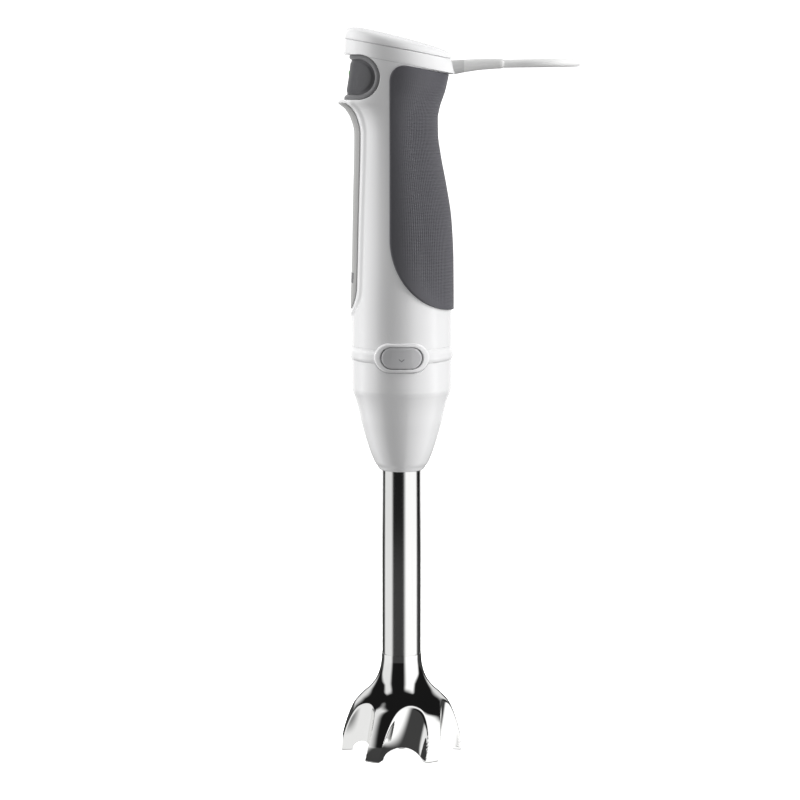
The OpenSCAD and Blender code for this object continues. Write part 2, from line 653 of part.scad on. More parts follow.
// Flexible sleeve that keeps the cord from kinking where it leaves the handle.
module cord_sleeve() color("whitesmoke") difference() {
    union() {
        translate([14.6, -sleeve_w / 2, sleeve_z - sleeve_h / 2]) cube([sleeve_x - 14.6, sleeve_w, sleeve_h]);
        translate([17, -sleeve_w / 2 - 1.5, sleeve_z - sleeve_h / 2 - 1.5]) cube([2, sleeve_w + 3, sleeve_h + 3]);
        hull() {
            translate([sleeve_x - 0.5, -sleeve_w / 2, sleeve_z - sleeve_h / 2]) cube([0.5, sleeve_w, sleeve_h]);
            translate([sleeve_end[0] - 0.5, -3.2, sleeve_end[2] - 2.45]) cube([0.5, 6.4, 4.9]);
        }
    }
}

// The lead goes straight out, turns back behind the handle and drops to the floor.
lead_points = [for (v = [[51.1, 0, 355], [59, 0, 355.3], [67.8, 0, 355.5], [76.4, 1.7, 355.6], [83.6, 6.6, 355.6],
    [88.5, 13.8, 355.6], [90.2, 22.4, 355.6], [88.5, 31, 355.6], [83.6, 38.2, 355.5], [76.4, 43.2, 355.4],
    [67.8, 45.2, 355.3], [59, 46.7, 355.2], [49.5, 48.6, 355], [39, 50.3, 354.6], [29, 51.3, 353.6],
    [20.5, 52, 350], [13.8, 52.3, 342], [9.8, 52.4, 329], [7, 52.4, 309], [4.6, 52.3, 275]]) v + [0, 0, lift]];
drop_points = [[3, 52, 230], [2, 52, 190], [1, 51.5, 150], [0.3, 50, 110], [0, 47.5, 80], [0, 44.5, 55],
    [0, 42.6, 38], [0.2, 43.2, 24], [0.9, 46.5, 13.4], [2.3, 51.8, 6.6], [4.6, 58.2, 3.1], [7.4, 65.3, 2.1]];
module cord_lead() color("whitesmoke")
    swept(smooth(concat(lead_points, drop_points), 2), cord_d / 2);

// The rest of the cord is folded into a flat hank behind the bell.
hank_y = 63;
hank_run = 32;
hank_r = 4.5 * cord_d;
module hank_form(r, h) translate([0, hank_y, 0]) {
    for (s = [-1, 1]) translate([0, s * hank_run / 2, 0]) cylinder(r = r, h = h);
    translate([-r, -hank_run / 2, 0]) cube([2 * r, hank_run, h]);
}
tie_y = 41;
module cord_hank() color("whitesmoke") difference() {
    hank_form(hank_r, 2 * cord_d);
    translate([0, 0, -1]) hank_form(hank_r - 2 * cord_d, 20);
    difference() {
        translate([-30, tie_y, -5]) cube([60, 5, 20]);
        translate([-hank_r + 1, tie_y - 1, 0.8]) cube([2 * hank_r - 2, 7, 2 * cord_d - 1.6]);
    }
}
module cord_tie() color("dimgray") difference() {
    intersection() {
        hank_form(hank_r, 2 * cord_d);
        translate([-30, tie_y + 0.2, 0]) cube([60, 4.6, 20]);
    }
    translate([-hank_r + 0.95, tie_y - 1, 0.75]) cube([2 * hank_r - 1.9, 7, 2 * cord_d - 1.5]);
}
over = 2.5 * cord_d + 0.1;
tail_points = [[12, 72, over], [10, 78, over], [6, 84, over + 0.2], [2, 89.5, over + 0.3], [0, 94, over + 0.2],
    [0, 97.9, over - 0.3]];
module cord_tail() color("whitesmoke") swept(smooth(tail_points, 2), cord_d / 2);

plug_y = 110;
plug_l = 22;
module plug_body() color("whitesmoke") {
    hull() {
        translate([-9, plug_y, 0.6]) cube([18, 1, 12.8]);
        translate([-12, plug_y + 8, 2]) cube([24, plug_l - 8, 10]);
        translate([-10, plug_y + 8, 0]) cube([20, plug_l - 8, 14]);
    }
    hull() {
        translate([0, 98.1, over - 0.3]) rotate([-90, 0, 0]) cylinder(r = 2.4, h = 0.2, $fn = 24);
        translate([0, plug_y - 0.2, 7.2]) rotate([-90, 0, 0]) cylinder(r = 4.4, h = 0.2, $fn = 24);
    }
}
module plug_blades() color("silver") for (s = [-1, 1]) difference() {
    translate([s * 6.35 - 0.75, plug_y + plug_l + 0.05, 3.8]) cube([1.5, 16.5, 6.4]);
    translate([s * 6.35 - 2, plug_y + plug_l + 13, 7]) rotate([0, 90, 0]) cylinder(r = 1.6, h = 4);
}

bell();
shaft_tube();
bearing_plug();
shaft_seal();
lower_bush();
foot_housing();
foot_core();
upper_bush();
cup_plate();
drive_shaft();
driven_coupling();
blade();
blade_hub();
blade_nut();
handle_shell();
top_cap();
grip_panel();
front_strip();
release_ring();
release_button_left();
release_button_right();
latch_collar();
latch_spring_left();
latch_spring_right();
collar_screws();
button_bezel();
main_button();
button_light();
button_spring();
switch_carrier();
micro_switch();
switch_plunger();
control_board();
capacitor();
choke();
terminal_block();
motor_shaft();
armature_core();
armature_winding();
commutator();
cooling_fan();
drive_coupling();
field_core();
field_coils();
lower_bracket();
upper_bracket();
lower_bearing();
upper_bearing();
brush_holders();
carbon_brushes();
brush_springs();
motor_dampers();
cord_sleeve();
cord_lead();
cord_hank();
cord_tie();
cord_tail();
plug_body();
plug_blades();
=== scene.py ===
import bpy
import numpy as np
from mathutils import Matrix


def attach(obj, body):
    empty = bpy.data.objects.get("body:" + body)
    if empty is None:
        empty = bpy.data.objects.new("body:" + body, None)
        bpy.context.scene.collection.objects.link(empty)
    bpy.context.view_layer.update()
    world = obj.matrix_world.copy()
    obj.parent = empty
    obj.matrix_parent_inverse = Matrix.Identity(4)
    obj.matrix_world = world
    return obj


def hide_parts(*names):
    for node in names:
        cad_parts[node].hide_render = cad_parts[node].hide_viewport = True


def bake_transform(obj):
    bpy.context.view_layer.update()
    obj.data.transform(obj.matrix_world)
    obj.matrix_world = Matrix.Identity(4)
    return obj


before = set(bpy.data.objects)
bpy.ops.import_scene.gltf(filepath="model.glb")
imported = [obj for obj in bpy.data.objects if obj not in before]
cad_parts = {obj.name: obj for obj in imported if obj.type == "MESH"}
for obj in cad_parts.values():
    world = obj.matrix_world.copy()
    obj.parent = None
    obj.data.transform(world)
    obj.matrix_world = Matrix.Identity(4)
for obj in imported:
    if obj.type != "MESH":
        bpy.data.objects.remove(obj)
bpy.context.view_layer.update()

# ---- studio ----------------------------------------------------------------------------------
# A plain pale cove, a camera a little above the middle of the blender, two soft side lights and a
# tent of tall light and dark panels that only polished surfaces see.


def monotone(x, y, at):
    """Curve through the points (x, y) at the places `at`: a cubic on each span whose end slopes are the
    harmonic means of the chords on both sides, so it never swings past a point."""
    x, y, at = np.asarray(x, float), np.asarray(y, float), np.asarray(at, float)
    h = np.diff(x)
    d = np.diff(y) / h
    m = np.concatenate([d[:1], np.zeros(len(d) - 1), d[-1:]])
    turn = d[1:] * d[:-1] > 0
    a, b = np.where(turn, d[:-1], 1), np.where(turn, d[1:], 1)
    wa, wb = 2 * h[1:] + h[:-1], h[1:] + 2 * h[:-1]
    m[1:-1] = np.where(turn, (wa + wb) / (wa / a + wb / b), 0)
    k = np.clip(np.searchsorted(x, at, side="right") - 1, 0, len(h) - 1)
    t = np.clip((at - x[k]) / h[k], 0, 1)
    return ((1 + 2 * t) * (1 - t) ** 2 * y[k] + t * (1 - t) ** 2 * h[k] * m[k]
            + t * t * (3 - 2 * t) * y[k + 1] + t * t * (t - 1) * h[k] * m[k + 1])


def flow(points, n):
    """n points on a smooth curve through `points`, each coordinate monotone along the chord length."""
    points = np.asarray(points, float)
    s = np.concatenate([[0], np.cumsum(np.linalg.norm(np.diff(points, axis=0), axis=1))])
    at = np.linspace(0, s[-1], n)
    return np.stack([monotone(s, points[:, i], at) for i in range(points.shape[1])], 1)


def mesh_object(name, points, faces, mm=True):
    """A mesh from an array of points and a list of face arrays (triangles or quads). A closed skin whose
    volume comes out negative is turned over, so that its faces point outward."""
    points = np.asarray(points, float).reshape(-1, 3) * (0.001 if mm else 1)
    faces = [np.asarray(f, int) for f in faces if len(f)]
    volume = sum(np.einsum("ij,ij->", points[f[:, 0]], np.cross(points[f[:, k]], points[f[:, k + 1]]))
                 for f in faces for k in range(1, f.shape[1] - 1))
    faces = [f[:, ::-1] for f in faces] if volume < 0 else faces
    sizes = np.concatenate([np.full(len(f), f.shape[1]) for f in faces])
    mesh = bpy.data.meshes.new(name)
    mesh.vertices.add(len(points))
    mesh.vertices.foreach_set("co", points.astype(np.float32).ravel())
    mesh.loops.add(int(sizes.sum()))
    mesh.loops.foreach_set("vertex_index", np.concatenate([f.ravel() for f in faces]).astype(np.int32))
    mesh.polygons.add(len(sizes))
    mesh.polygons.foreach_set("loop_start", np.concatenate([[0], np.cumsum(sizes)[:-1]]).astype(np.int32))
    mesh.update(calc_edges=True)
    mesh.validate()
    mesh.shade_smooth()
    mesh.set_sharp_from_angle(angle=np.radians(38))
    piece = bpy.data.objects.new(name, mesh)
    bpy.context.scene.collection.objects.link(piece)
    return piece


def grid_faces(rows, columns, around=True, along=False, first=0):
    """Quads between neighbours of a grid of rows x columns points, closed round the columns (`around`)
    and from the last row to the first (`along`)."""
    r = np.arange(rows if along else rows - 1)[:, None]
    c = np.arange(columns if around else columns - 1)[None, :]
    down, right = (r + 1) % rows, (c + 1) % columns
    return first + np.stack([r * columns + c, r * columns + right, down * columns + right,
                             down * columns + c], -1).reshape(-1, 4)


def skin(name, grid, ends=False, along=False):
    """A piece from a grid of points (rows, columns, 3) closed round its columns. `ends` closes the first
    and the last row with fans to their middles; `along` joins the last row to the first."""
    rows, columns = grid.shape[:2]
    points, faces = grid.reshape(-1, 3), [grid_faces(rows, columns, True, along)]
    if ends:
        points = np.concatenate([points, [grid[0].mean(0), grid[-1].mean(0)]])
        c, n = np.arange(columns), rows * columns
        d = (c + 1) % columns
        faces.append(np.stack([d, c, np.full(columns, n)], 1))
        faces.append(np.stack([c + n - columns, d + n - columns, np.full(columns, n + 1)], 1))
    return mesh_object(name, points, faces)


class Shade:
    """One output of a node in a finish. Sums, products and the like of outputs and numbers add Math nodes;
    `node` adds any other node from its type, its settings and the values or links of its sockets."""

    def __init__(self, tree, socket=None):
        self.tree, self.socket = tree, socket

    def node(self, kind, settings=None, sockets=None, out=0):
        made = self.tree.nodes.new("ShaderNode" + kind)
        for key, value in (settings or {}).items():
            if key == "stops":
                ramp = made.color_ramp.elements
                while len(ramp) < len(value):
                    ramp.new(0.5)
                for stop, (place, grey) in zip(ramp, value):
                    stop.position, stop.color = place, (grey, grey, grey, 1)
            else:
                setattr(made, key, value)
        for key, value in (sockets or {}).items():
            if isinstance(value, Shade):
                self.tree.links.new(value.socket, made.inputs[key])
            else:
                made.inputs[key].default_value = value
        return Shade(self.tree, made.outputs[out] if len(made.outputs) else None)

    def math(self, operation, *values):
        return self.node("Math", {"operation": operation}, dict(enumerate(values)))

    def __add__(self, other):
        return self.math("ADD", self, other)

    def __sub__(self, other):
        return self.math("SUBTRACT", self, other)

    def __rsub__(self, other):
        return self.math("SUBTRACT", other, self)

    def __mul__(self, other):
        return self.math("MULTIPLY", self, other)

    def __truediv__(self, other):
        return self.math("DIVIDE", self, other)

    def __abs__(self):
        return self.math("ABSOLUTE", self)

    __radd__, __rmul__ = __add__, __mul__

    def steps(self, low, high, start=0.0, end=1.0):
        """Smooth step from `start` at `low` to `end` at `high`."""
        return self.node("MapRange", {"interpolation_type": "SMOOTHSTEP"},
                         {"Value": self, "From Min": low, "From Max": high, "To Min": start, "To Max": end})


def new_finish(name):
    """An empty material and the Shade that starts its nodes."""
    material = bpy.data.materials.new(name)
    material.use_nodes = True
    material.node_tree.nodes.clear()
    return material, Shade(material.node_tree)


def place(start):
    """Object coordinates as three values in metres, after the whole vector."""
    where = start.node("TexCoord", out=3)
    apart = start.node("SeparateXYZ", {}, {0: where})
    return [where, apart] + [Shade(start.tree, apart.socket.node.outputs[k]) for k in (1, 2)]


def tint(start, mask, first, second):
    """Colour that goes from first to second with the mask; each is a colour or a Shade."""
    full = [c if isinstance(c, Shade) else (*c, 1) for c in (first, second)]
    return start.node("Mix", {"data_type": "RGBA"}, {0: mask, 6: full[0], 7: full[1]}, out=2)


def shine(start, sockets, bump=None, strength=0.2, distance=0.0002):
    """Ends a finish in a Principled shader with these sockets and, if given, a bump height in 0 to 1."""
    sockets = {k: (*v, 1) if isinstance(v, tuple) and len(v) == 3 else v for k, v in sockets.items()}
    if bump is not None:
        bumped = {"Height": bump, "Strength": strength, "Distance": distance}
        sockets["Normal"] = start.node("Bump", {}, bumped)
    surface = start.node("BsdfPrincipled", {}, sockets)
    start.node("OutputMaterial", {}, {"Surface": surface})


def wear(start, cycles=60.0, detail=3.0):
    """Soft cloudy value in 0 to 1 over Object coordinates, with this many cycles per metre."""
    return start.node("TexNoise", {}, {"Vector": start.node("TexCoord", out=3), "Scale": cycles,
                                       "Detail": detail, "Roughness": 0.55})


scene = bpy.context.scene
scene.view_settings.view_transform = "Standard"
lens = bpy.data.cameras.new("studio_camera")
lens.lens, lens.sensor_width, lens.clip_start = 105.75, 36, 0.02
camera = bpy.data.objects.new("studio_camera", lens)
camera.location = (-0.0008, -1.196, 0.3457)
camera.rotation_euler = (np.radians(90 - 7.7), 0, 0)
scene.collection.objects.link(camera)
scene.camera = camera

# floor and backdrop: a flat disc that turns up into a round wall
cove_r, cove_bend = 3.1, 0.9
turn = np.radians(np.linspace(0, 90, 14))
bend_line = np.stack([cove_r - cove_bend * (1 - np.sin(turn)), cove_bend * (1 - np.cos(turn))], 1)
cove_line = np.concatenate([[[0.002, 0], [1.0, 0]], bend_line, [[cove_r, 3.0]]])
angle = np.radians(np.arange(0, 360, 5))
cove = np.stack([cove_line[:, :1] * np.cos(angle), cove_line[:, :1] * np.sin(angle),
                 np.repeat(cove_line[:, 1:], len(angle), 1)], -1)
floor = mesh_object("cove", cove, [grid_faces(len(cove), len(angle))[:, ::-1]], mm=False)
floor_paint, start = new_finish("cove_paper")
shine(start, {"Base Color": tint(start, wear(start, 3.0), (0.93, 0.93, 0.93), (0.95, 0.95, 0.95)),
              "Roughness": 0.95, "Specular IOR Level": 0.0, "Emission Color": (1.0, 1.0, 1.0),
              "Emission Strength": 0.95})
floor.data.materials.append(floor_paint)
for ray in ("diffuse", "glossy", "transmission"):              # the lamps and the tent light the object
    setattr(floor, "visible_" + ray, False)

# panels of the tent by azimuth from the camera's side, toward +X, and by height
panel_r = 0.46
tent_angle = np.radians(np.linspace(-180, 180, 145)[:-1])
tent_line = np.array([[0.004, 0.0006], [panel_r, 0.0006], [panel_r, 0.62], [panel_r, 1.1], [0.004, 1.1]])
tent_grid = np.stack([tent_line[:, :1] * np.sin(tent_angle), -tent_line[:, :1] * np.cos(tent_angle),
                      np.repeat(tent_line[:, 1:], len(tent_angle), 1)], -1)
tent = mesh_object("panel_tent", tent_grid, [grid_faces(len(tent_grid), len(tent_angle))], mm=False)
tent_paint, start = new_finish("panel_light")
where, x, y, z = place(start)
side = start.math("ARCTAN2", x, 0.0 - y) * (180 / np.pi)   # degrees from the camera's side toward +X
rise = z / start.math("SQRT", x * x + y * y)                # tangent of the height angle
narrow = rise.steps(0.0, 0.8)
left = (side - 33.0 * narrow).steps(-124, -110) * side.steps(-64, -46, 1, 0)
right = side.steps(8, 30) * (side + 38.0 * narrow).steps(96, 110, 1, 0)
back = abs(side).steps(132, 150) * rise.steps(0.02, 0.15)
panels = (0.85 * left + 1.15 * right) * rise.steps(1.3, 2.1, 1, 0)
glow = panels + 0.8 * back + rise.steps(0.005, 0.08, 0.055, 0.01)
emit = start.node("Emission", {}, {"Color": (1, 1, 1, 1), "Strength": glow})
start.node("OutputMaterial", {}, {"Surface": emit})
tent.data.materials.append(tent_paint)
for ray in ("camera", "diffuse", "transmission", "volume_scatter", "shadow"):
    setattr(tent, "visible_" + ray, False)


def soft_light(name, where, toward, size, power):
    """Rectangular area light of (width, height) metres that faces the point `toward`."""
    lamp = bpy.data.lights.new(name, "AREA")
    lamp.shape, lamp.size, lamp.size_y, lamp.energy = "RECTANGLE", *size, power
    made = bpy.data.objects.new(name, lamp)
    made.location = where
    from_to = np.array(toward, float) - np.array(where, float)
    made.rotation_euler = (np.arccos(-from_to[2] / np.linalg.norm(from_to)), 0,
                           np.arctan2(from_to[1], from_to[0]) - np.pi / 2)
    made.visible_camera = made.visible_glossy = False
    scene.collection.objects.link(made)


soft_light("light_right", (1.2, -0.2, 0.45), (0, 0, 0.2), (0.4, 1.5), 19)
soft_light("light_left", (-1.17, 0.36, 0.45), (0, 0, 0.2), (0.4, 1.5), 24)
soft_light("light_top", (0, -0.1, 1.9), (0, 0, 0.1), (1.2, 1.2), 6)
world = bpy.data.worlds.new("studio_world")
scene.world = world
world.use_nodes = True
world.node_tree.nodes["Background"].inputs[0].default_value = (1, 1, 1, 1)
world.node_tree.nodes["Background"].inputs[1].default_value = 0.45

# ---- mains cord ------------------------------------------------------------------------------
# A thin white two-core lead in a soft PVC jacket. It comes straight out of its sleeve, turns back
# behind the handle, drops to the floor and is folded there in three flat turns under a tie.

cord_d = 4.0
lead_route = [[51.1, 0, 355], [59, 0, 355.3], [67.8, 0, 355.5], [76.4, 1.7, 355.6], [83.6, 6.6, 355.6],
              [88.5, 13.8, 355.6], [90.2, 22.4, 355.6], [88.5, 31, 355.6], [83.6, 38.2, 355.5],
              [76.4, 43.2, 355.4], [67.8, 45.2, 355.3], [59, 46.7, 355.2], [49.5, 48.6, 355],
              [39, 50.3, 354.6], [29, 51.3, 353.6], [20.5, 52, 350], [13.8, 52.3, 342], [9.8, 52.4, 329],
              [7, 52.4, 309],
              [4.6, 52.3, 275], [3, 52, 230], [2, 52, 190], [1, 51.5, 150], [0.3, 50, 110], [0, 47.5, 80],
              [0, 44.5, 55], [0, 42.6, 38], [0.2, 43.2, 24], [0.9, 46.5, 13.4], [2.3, 51.8, 6.6],
              [4.6, 58.2, 3.1], [7.4, 65.3, 2.1], [9.8, 71, 2.0], [11.4, 76, 2.0]]
tail_route = [[12, 72, 10.1], [10, 78, 10.1], [6, 84, 10.3], [2, 89.5, 10.4], [0, 94, 10.3], [0, 97.9, 9.8]]
# stations of the hank: 0 far fold, 1 run on -X, 2 near fold, 3 run on +X, and so on for three turns
station = np.arange(0.12, 11.74, 0.14)
widened = monotone([2, 3], [0, 1], np.clip(station, 2, 3)) - monotone([8, 9], [0, 1], np.clip(station, 8, 9))
turn_r = 12 + cord_d * widened
turn_z = cord_d * (0.5 + np.interp(station, [5, 6], [0, 1])) + 4.1 * np.interp(station, [11, 11.78], [0, 1])
share, leg = station % 1, (station // 1).astype(int) % 4
bend = np.pi * share + np.pi * (leg == 2)
on_fold = leg % 2 == 0
hank_x = np.where(on_fold, turn_r * np.cos(bend), np.where(leg == 3, turn_r, -turn_r))
hank_y = np.where(on_fold, np.where(leg == 0, 79, 47) + turn_r * np.sin(bend),
                  np.where(leg == 3, 47 + 32 * share, 79 - 32 * share))
route = np.concatenate([lead_route, np.stack([hank_x, hank_y, turn_z], 1), tail_route])


def curve_through(points, n):
    """Catmull-Rom curve with n steps between neighbours of `points`."""
    p = np.concatenate([points[:1], points, points[-1:]])
    a, b, c, d = (p[k:len(p) - 3 + k, None] for k in range(4))
    t = np.linspace(0, 1, n, endpoint=False)[None, :, None]
    curve = 0.5 * (2 * b + (c - a) * t + (2 * a - 5 * b + 4 * c - d) * t ** 2
                   + (3 * b - a - 3 * c + d) * t ** 3)
    return np.concatenate([curve.reshape(-1, 3), points[-1:]])


def unit(v):
    return v / np.linalg.norm(v, axis=-1, keepdims=True)


def sweep(line, outline):
    """Outline (rows along the line or one for all, columns, 2) carried along a line of points: each point is
    line + u * side + v * up, where side is carried from one point to the next without turning."""
    ahead = unit(np.gradient(line, axis=0))
    side = [unit(np.cross(ahead[0], [0.02, 0.03, 1.0]))]
    for t in ahead[1:]:
        side.append(unit(side[-1] - t * (side[-1] @ t)))
    side = np.array(side)
    up = np.cross(side, ahead)
    outline = np.broadcast_to(outline, (len(line),) + np.shape(outline)[-2:])
    return line[:, None] + outline[..., :1] * side[:, None] + outline[..., 1:] * up[:, None]


def circle(r, n):
    a = np.linspace(0, 2 * np.pi, n, endpoint=False)
    return np.stack([r * np.cos(a), r * np.sin(a)], 1)


cord_line = curve_through(route, 5)
cord = skin("mains_cord", sweep(cord_line, circle(cord_d / 2, 20)), ends=True)
cord_jacket, start = new_finish("cord_jacket")
cloud = wear(start, 240.0)
shine(start, {"Base Color": tint(start, cloud, (0.80, 0.80, 0.795), (0.86, 0.86, 0.855)),
              "Roughness": 0.36 + 0.12 * cloud, "Coat Weight": 0.15, "Coat Roughness": 0.3},
      cloud, 0.15, 0.0001)
cord.data.materials.append(cord_jacket)
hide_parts("cord_lead", "cord_hank", "cord_tail")
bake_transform(cord)

# ---- blending foot: drive tube ---------------------------------------------------------------
# Stainless tube, 20 mm across, drawn and polished. It is pressed and welded into the neck of the
# bell below and moulded into the white housing above.


def revolved(name, line, columns=160, along=True):
    """Surface of revolution about Z from a profile of (radius, height) points, closed along the profile."""
    a = np.linspace(0, 2 * np.pi, columns, endpoint=False)
    r, z = np.asarray(line, float).T[..., None]
    return skin(name, np.stack([r * np.cos(a), r * np.sin(a), z + 0 * a], -1), along=along)


def fit_out(piece, body, slot, material, *nodes):
    """Gives a piece its finish in a new material slot, its body and the CAD nodes that it stands for. The
    slot argument is not used.
    """
    piece.data.materials.append(material)
    if nodes:
        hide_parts(*nodes)
    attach(piece, body)
    return piece


neck_z, tube_top_z = 51.5, 148.0
tube_line = [[10.0, neck_z - 0.4], [10.0, tube_top_z + 4], [9.0, tube_top_z + 4], [9.0, neck_z - 0.4]]
tube_steel, start = new_finish("drawn_steel")
where, x, y, z = place(start)
stretched = start.node("CombineXYZ", {}, {0: x * 900.0, 1: y * 900.0, 2: z * 14.0})
drawn = start.node("TexNoise", {}, {"Vector": stretched, "Scale": 1.0, "Detail": 2.0})
shine(start, {"Base Color": tint(start, drawn, (0.80, 0.80, 0.79), (0.86, 0.86, 0.85)), "Metallic": 1.0,
              "Roughness": 0.12 + 0.05 * drawn}, drawn, 0.03, 0.00005)
fit_out(revolved("drive_tube", tube_line), "foot", "tube_steel", tube_steel, "shaft_tube")

# ---- blending foot: bell ---------------------------------------------------------------------
# Pressed stainless guard, mirror polished. Six scoops are pressed into its skirt and its hem is cut
# to arches, so that it stands on six tips and food is drawn in between them.

bell_line = [[10.3, 51.5], [10.3, 49.3], [10.6, 46.2], [11.5, 42], [13.3, 37.6], [16.4, 33.3], [21, 29],
             [24.8, 24.8], [26.9, 20.5], [28.5, 16.2], [29.8, 11.9], [30.8, 7.5], [31.3, 0]]
bell_wall, scoop_r, scoop_at, scoop_lean, hem_r, hem_rise = 1.2, 13.0, 34.7, np.radians(14), 13.8, 6.5


def softer_min(a, b, width):
    """The lesser of a and b, rounded where they meet within `width`."""
    h = np.clip(0.5 + 0.5 * (b - a) / width, 0, 1)
    return b + (a - b) * h - width * h * (1 - h)


def bell_radius(around, z, depth=0.0):
    """Skirt radius at an angle and height: the lesser of the domed profile and the near side of the
    nearest scoop, a cylinder of radius scoop_r that leans sideways by scoop_lean. With a depth, the
    surface that lies that far inside both."""
    line = np.array(bell_line)[::-1]
    radius = monotone(line[:, 1], line[:, 0], z)
    fall = (monotone(line[:, 1], line[:, 0], z + 0.05) - radius) / 0.05
    radius = radius - depth * np.hypot(1, np.clip(fall, -2, 2))
    off = (around + np.pi / 2 + np.pi / 6) % (np.pi / 3) - np.pi / 6
    for step in (-np.pi / 3, 0, np.pi / 3):
        turn = off - step
        # the scoop's axis passes scoop_at outward and leans sideways with height
        side = np.sin(turn) * np.cos(scoop_lean)
        shift = z * np.sin(scoop_lean)
        b = np.cos(turn) * scoop_at + side * shift
        a = np.cos(turn) ** 2 + side ** 2
        root = b * b - a * (scoop_at ** 2 + shift ** 2 - (scoop_r + depth) ** 2)
        near = np.where(root > 0, (b - np.sqrt(np.maximum(root, 0))) / a, 99)
        radius = softer_min(radius, near, 1.0)
    return radius


columns = 640
around = np.linspace(0, 2 * np.pi, columns, endpoint=False)
off = (around + np.pi / 2 + np.pi / 6) % (np.pi / 3) - np.pi / 6
hem_side = bell_radius(around, np.full(columns, 3.0)) * np.sin(off)
hem = hem_rise - hem_r + np.sqrt(hem_r ** 2 - np.minimum(np.abs(hem_side), hem_r) ** 2)
hem = np.maximum(-softer_min(-hem, 0 * hem, 0.5), 0.0)
drop = np.linspace(0, 1, 88)[:, None]
bell_z = neck_z - drop * (neck_z - hem)


def bell_face(depth):
    """Grid of the skirt's outer face, or of the face that lies `depth` inside it."""
    radius = bell_radius(around[None], bell_z, depth)
    return np.stack([radius * np.cos(around), radius * np.sin(around), bell_z], -1)


outside, inside = bell_face(0.0), bell_face(bell_wall)
inside[..., :2] *= np.maximum(1, 9.05 / np.linalg.norm(inside[..., :2], axis=-1, keepdims=True))
bell_grid = np.concatenate([outside, 0.5 * (outside[-1:] + inside[-1:]), inside[::-1][::3], inside[:1]])
bell = skin("bell_guard", bell_grid, along=True)
bell_steel, start = new_finish("mirror_steel")
cloud = wear(start, 90.0)
shine(start, {"Base Color": tint(start, cloud, (0.86, 0.86, 0.85), (0.90, 0.90, 0.89)), "Metallic": 1.0,
              "Roughness": 0.02 + 0.03 * cloud}, cloud, 0.02, 0.00004)
fit_out(bell, "foot", "bell_steel", bell_steel, "bell")

# ---- blending foot: housing ------------------------------------------------------------------
# Glossy white moulding that widens from the tube to the handle. Its open top takes the handle's
# collar and dips under the rims of the two release buttons; a groove inside holds the latches.

body_r, part_z, release_z = 25.5, 205.5, 208.5
pill_half = (27.8 - 15.2) / 2


def pill_distance(x, z, half, r):
    """Distance outside a lying pill with straight half length `half` and end radius r; negative inside."""
    return np.hypot(np.maximum(np.abs(x) - half, 0), z - release_z) - r


housing_line = flow([[10.05, 148.6], [10.3, 148.05], [11.3, 148.3], [12.5, 150.2], [13.7, 151.8], [14.7, 154],
                     [16.3, 158], [18, 163.3], [19.5, 168.5], [20.9, 173.7], [22, 179], [23, 183],
                     [23.75, 185.4]], 64)
shoulder = flow([[23.75, 185.4], [24.35, 187.1], [25.0, 188.8], [25.42, 190.6], [25.5, 193]], 22)[1:]


def around_body(half, fine, coarse):
    """Angles round the body with `fine` of them within `half` degrees of each release button."""
    spans = ((-half, half, fine), (half, 180 - half, coarse), (180 - half, 180 + half, fine),
             (180 + half, 360 - half, coarse))
    return np.radians(np.concatenate([np.linspace(*span, endpoint=False) for span in spans])) + np.pi / 2


a = around_body(34, 150, 60)
flat, dip_r = body_r * np.cos(a), 7.6
dip = release_z - np.sqrt(np.maximum(dip_r ** 2 - np.maximum(np.abs(flat) - pill_half, 0) ** 2, 0))
rim_z = np.where(np.abs(flat) < pill_half + dip_r, np.minimum(part_z, dip), part_z)
lower = np.concatenate([housing_line, shoulder])
rows = [np.stack([r * np.cos(a), r * np.sin(a), np.full(len(a), z)], -1) for r, z in lower]
straight_z = shoulder[-1, 1]
rows += [np.stack([body_r * np.cos(a), body_r * np.sin(a), straight_z + t * (rim_z - 0.35 - straight_z)], -1)
         for t in np.linspace(0, 1, 30)[1:]]
for r, z in ((25.4, -0.1), (25.2, 0.0), (24.0, 0.0), (23.4, 0.0), (23.3, -0.2)):
    rows.append(np.stack([r * np.cos(a), r * np.sin(a), rim_z + z], -1))
for r, z in ((23.3, 200.2), (23.5, 200.1), (23.5, 196.1), (21.8, 195.9), (21.8, 191.2), (21.6, 191.0),
             (10.05, 191.0)):
    rows.append(np.stack([r * np.cos(a), r * np.sin(a), np.minimum(z, rim_z - 0.4)], -1))
housing = skin("foot_housing_shell", np.array(rows), along=True)
gloss_white, start = new_finish("gloss_white")
cloud = wear(start, 35.0, 2.0)
fine = wear(start, 900.0, 2.0)
shine(start, {"Base Color": tint(start, cloud, (0.80, 0.80, 0.805), (0.825, 0.825, 0.83)),
              "Roughness": 0.2 + 0.06 * cloud, "Coat Weight": 0.35, "Coat Roughness": 0.06},
      fine, 0.04, 0.00004)
fit_out(housing, "foot", "white_gloss", gloss_white, "foot_housing")

# ---- release ring ----------------------------------------------------------------------------
# White trim ring on the handle's lower end with a rounded bead, widened to a raised rim round each
# of the two buttons that let the foot go.

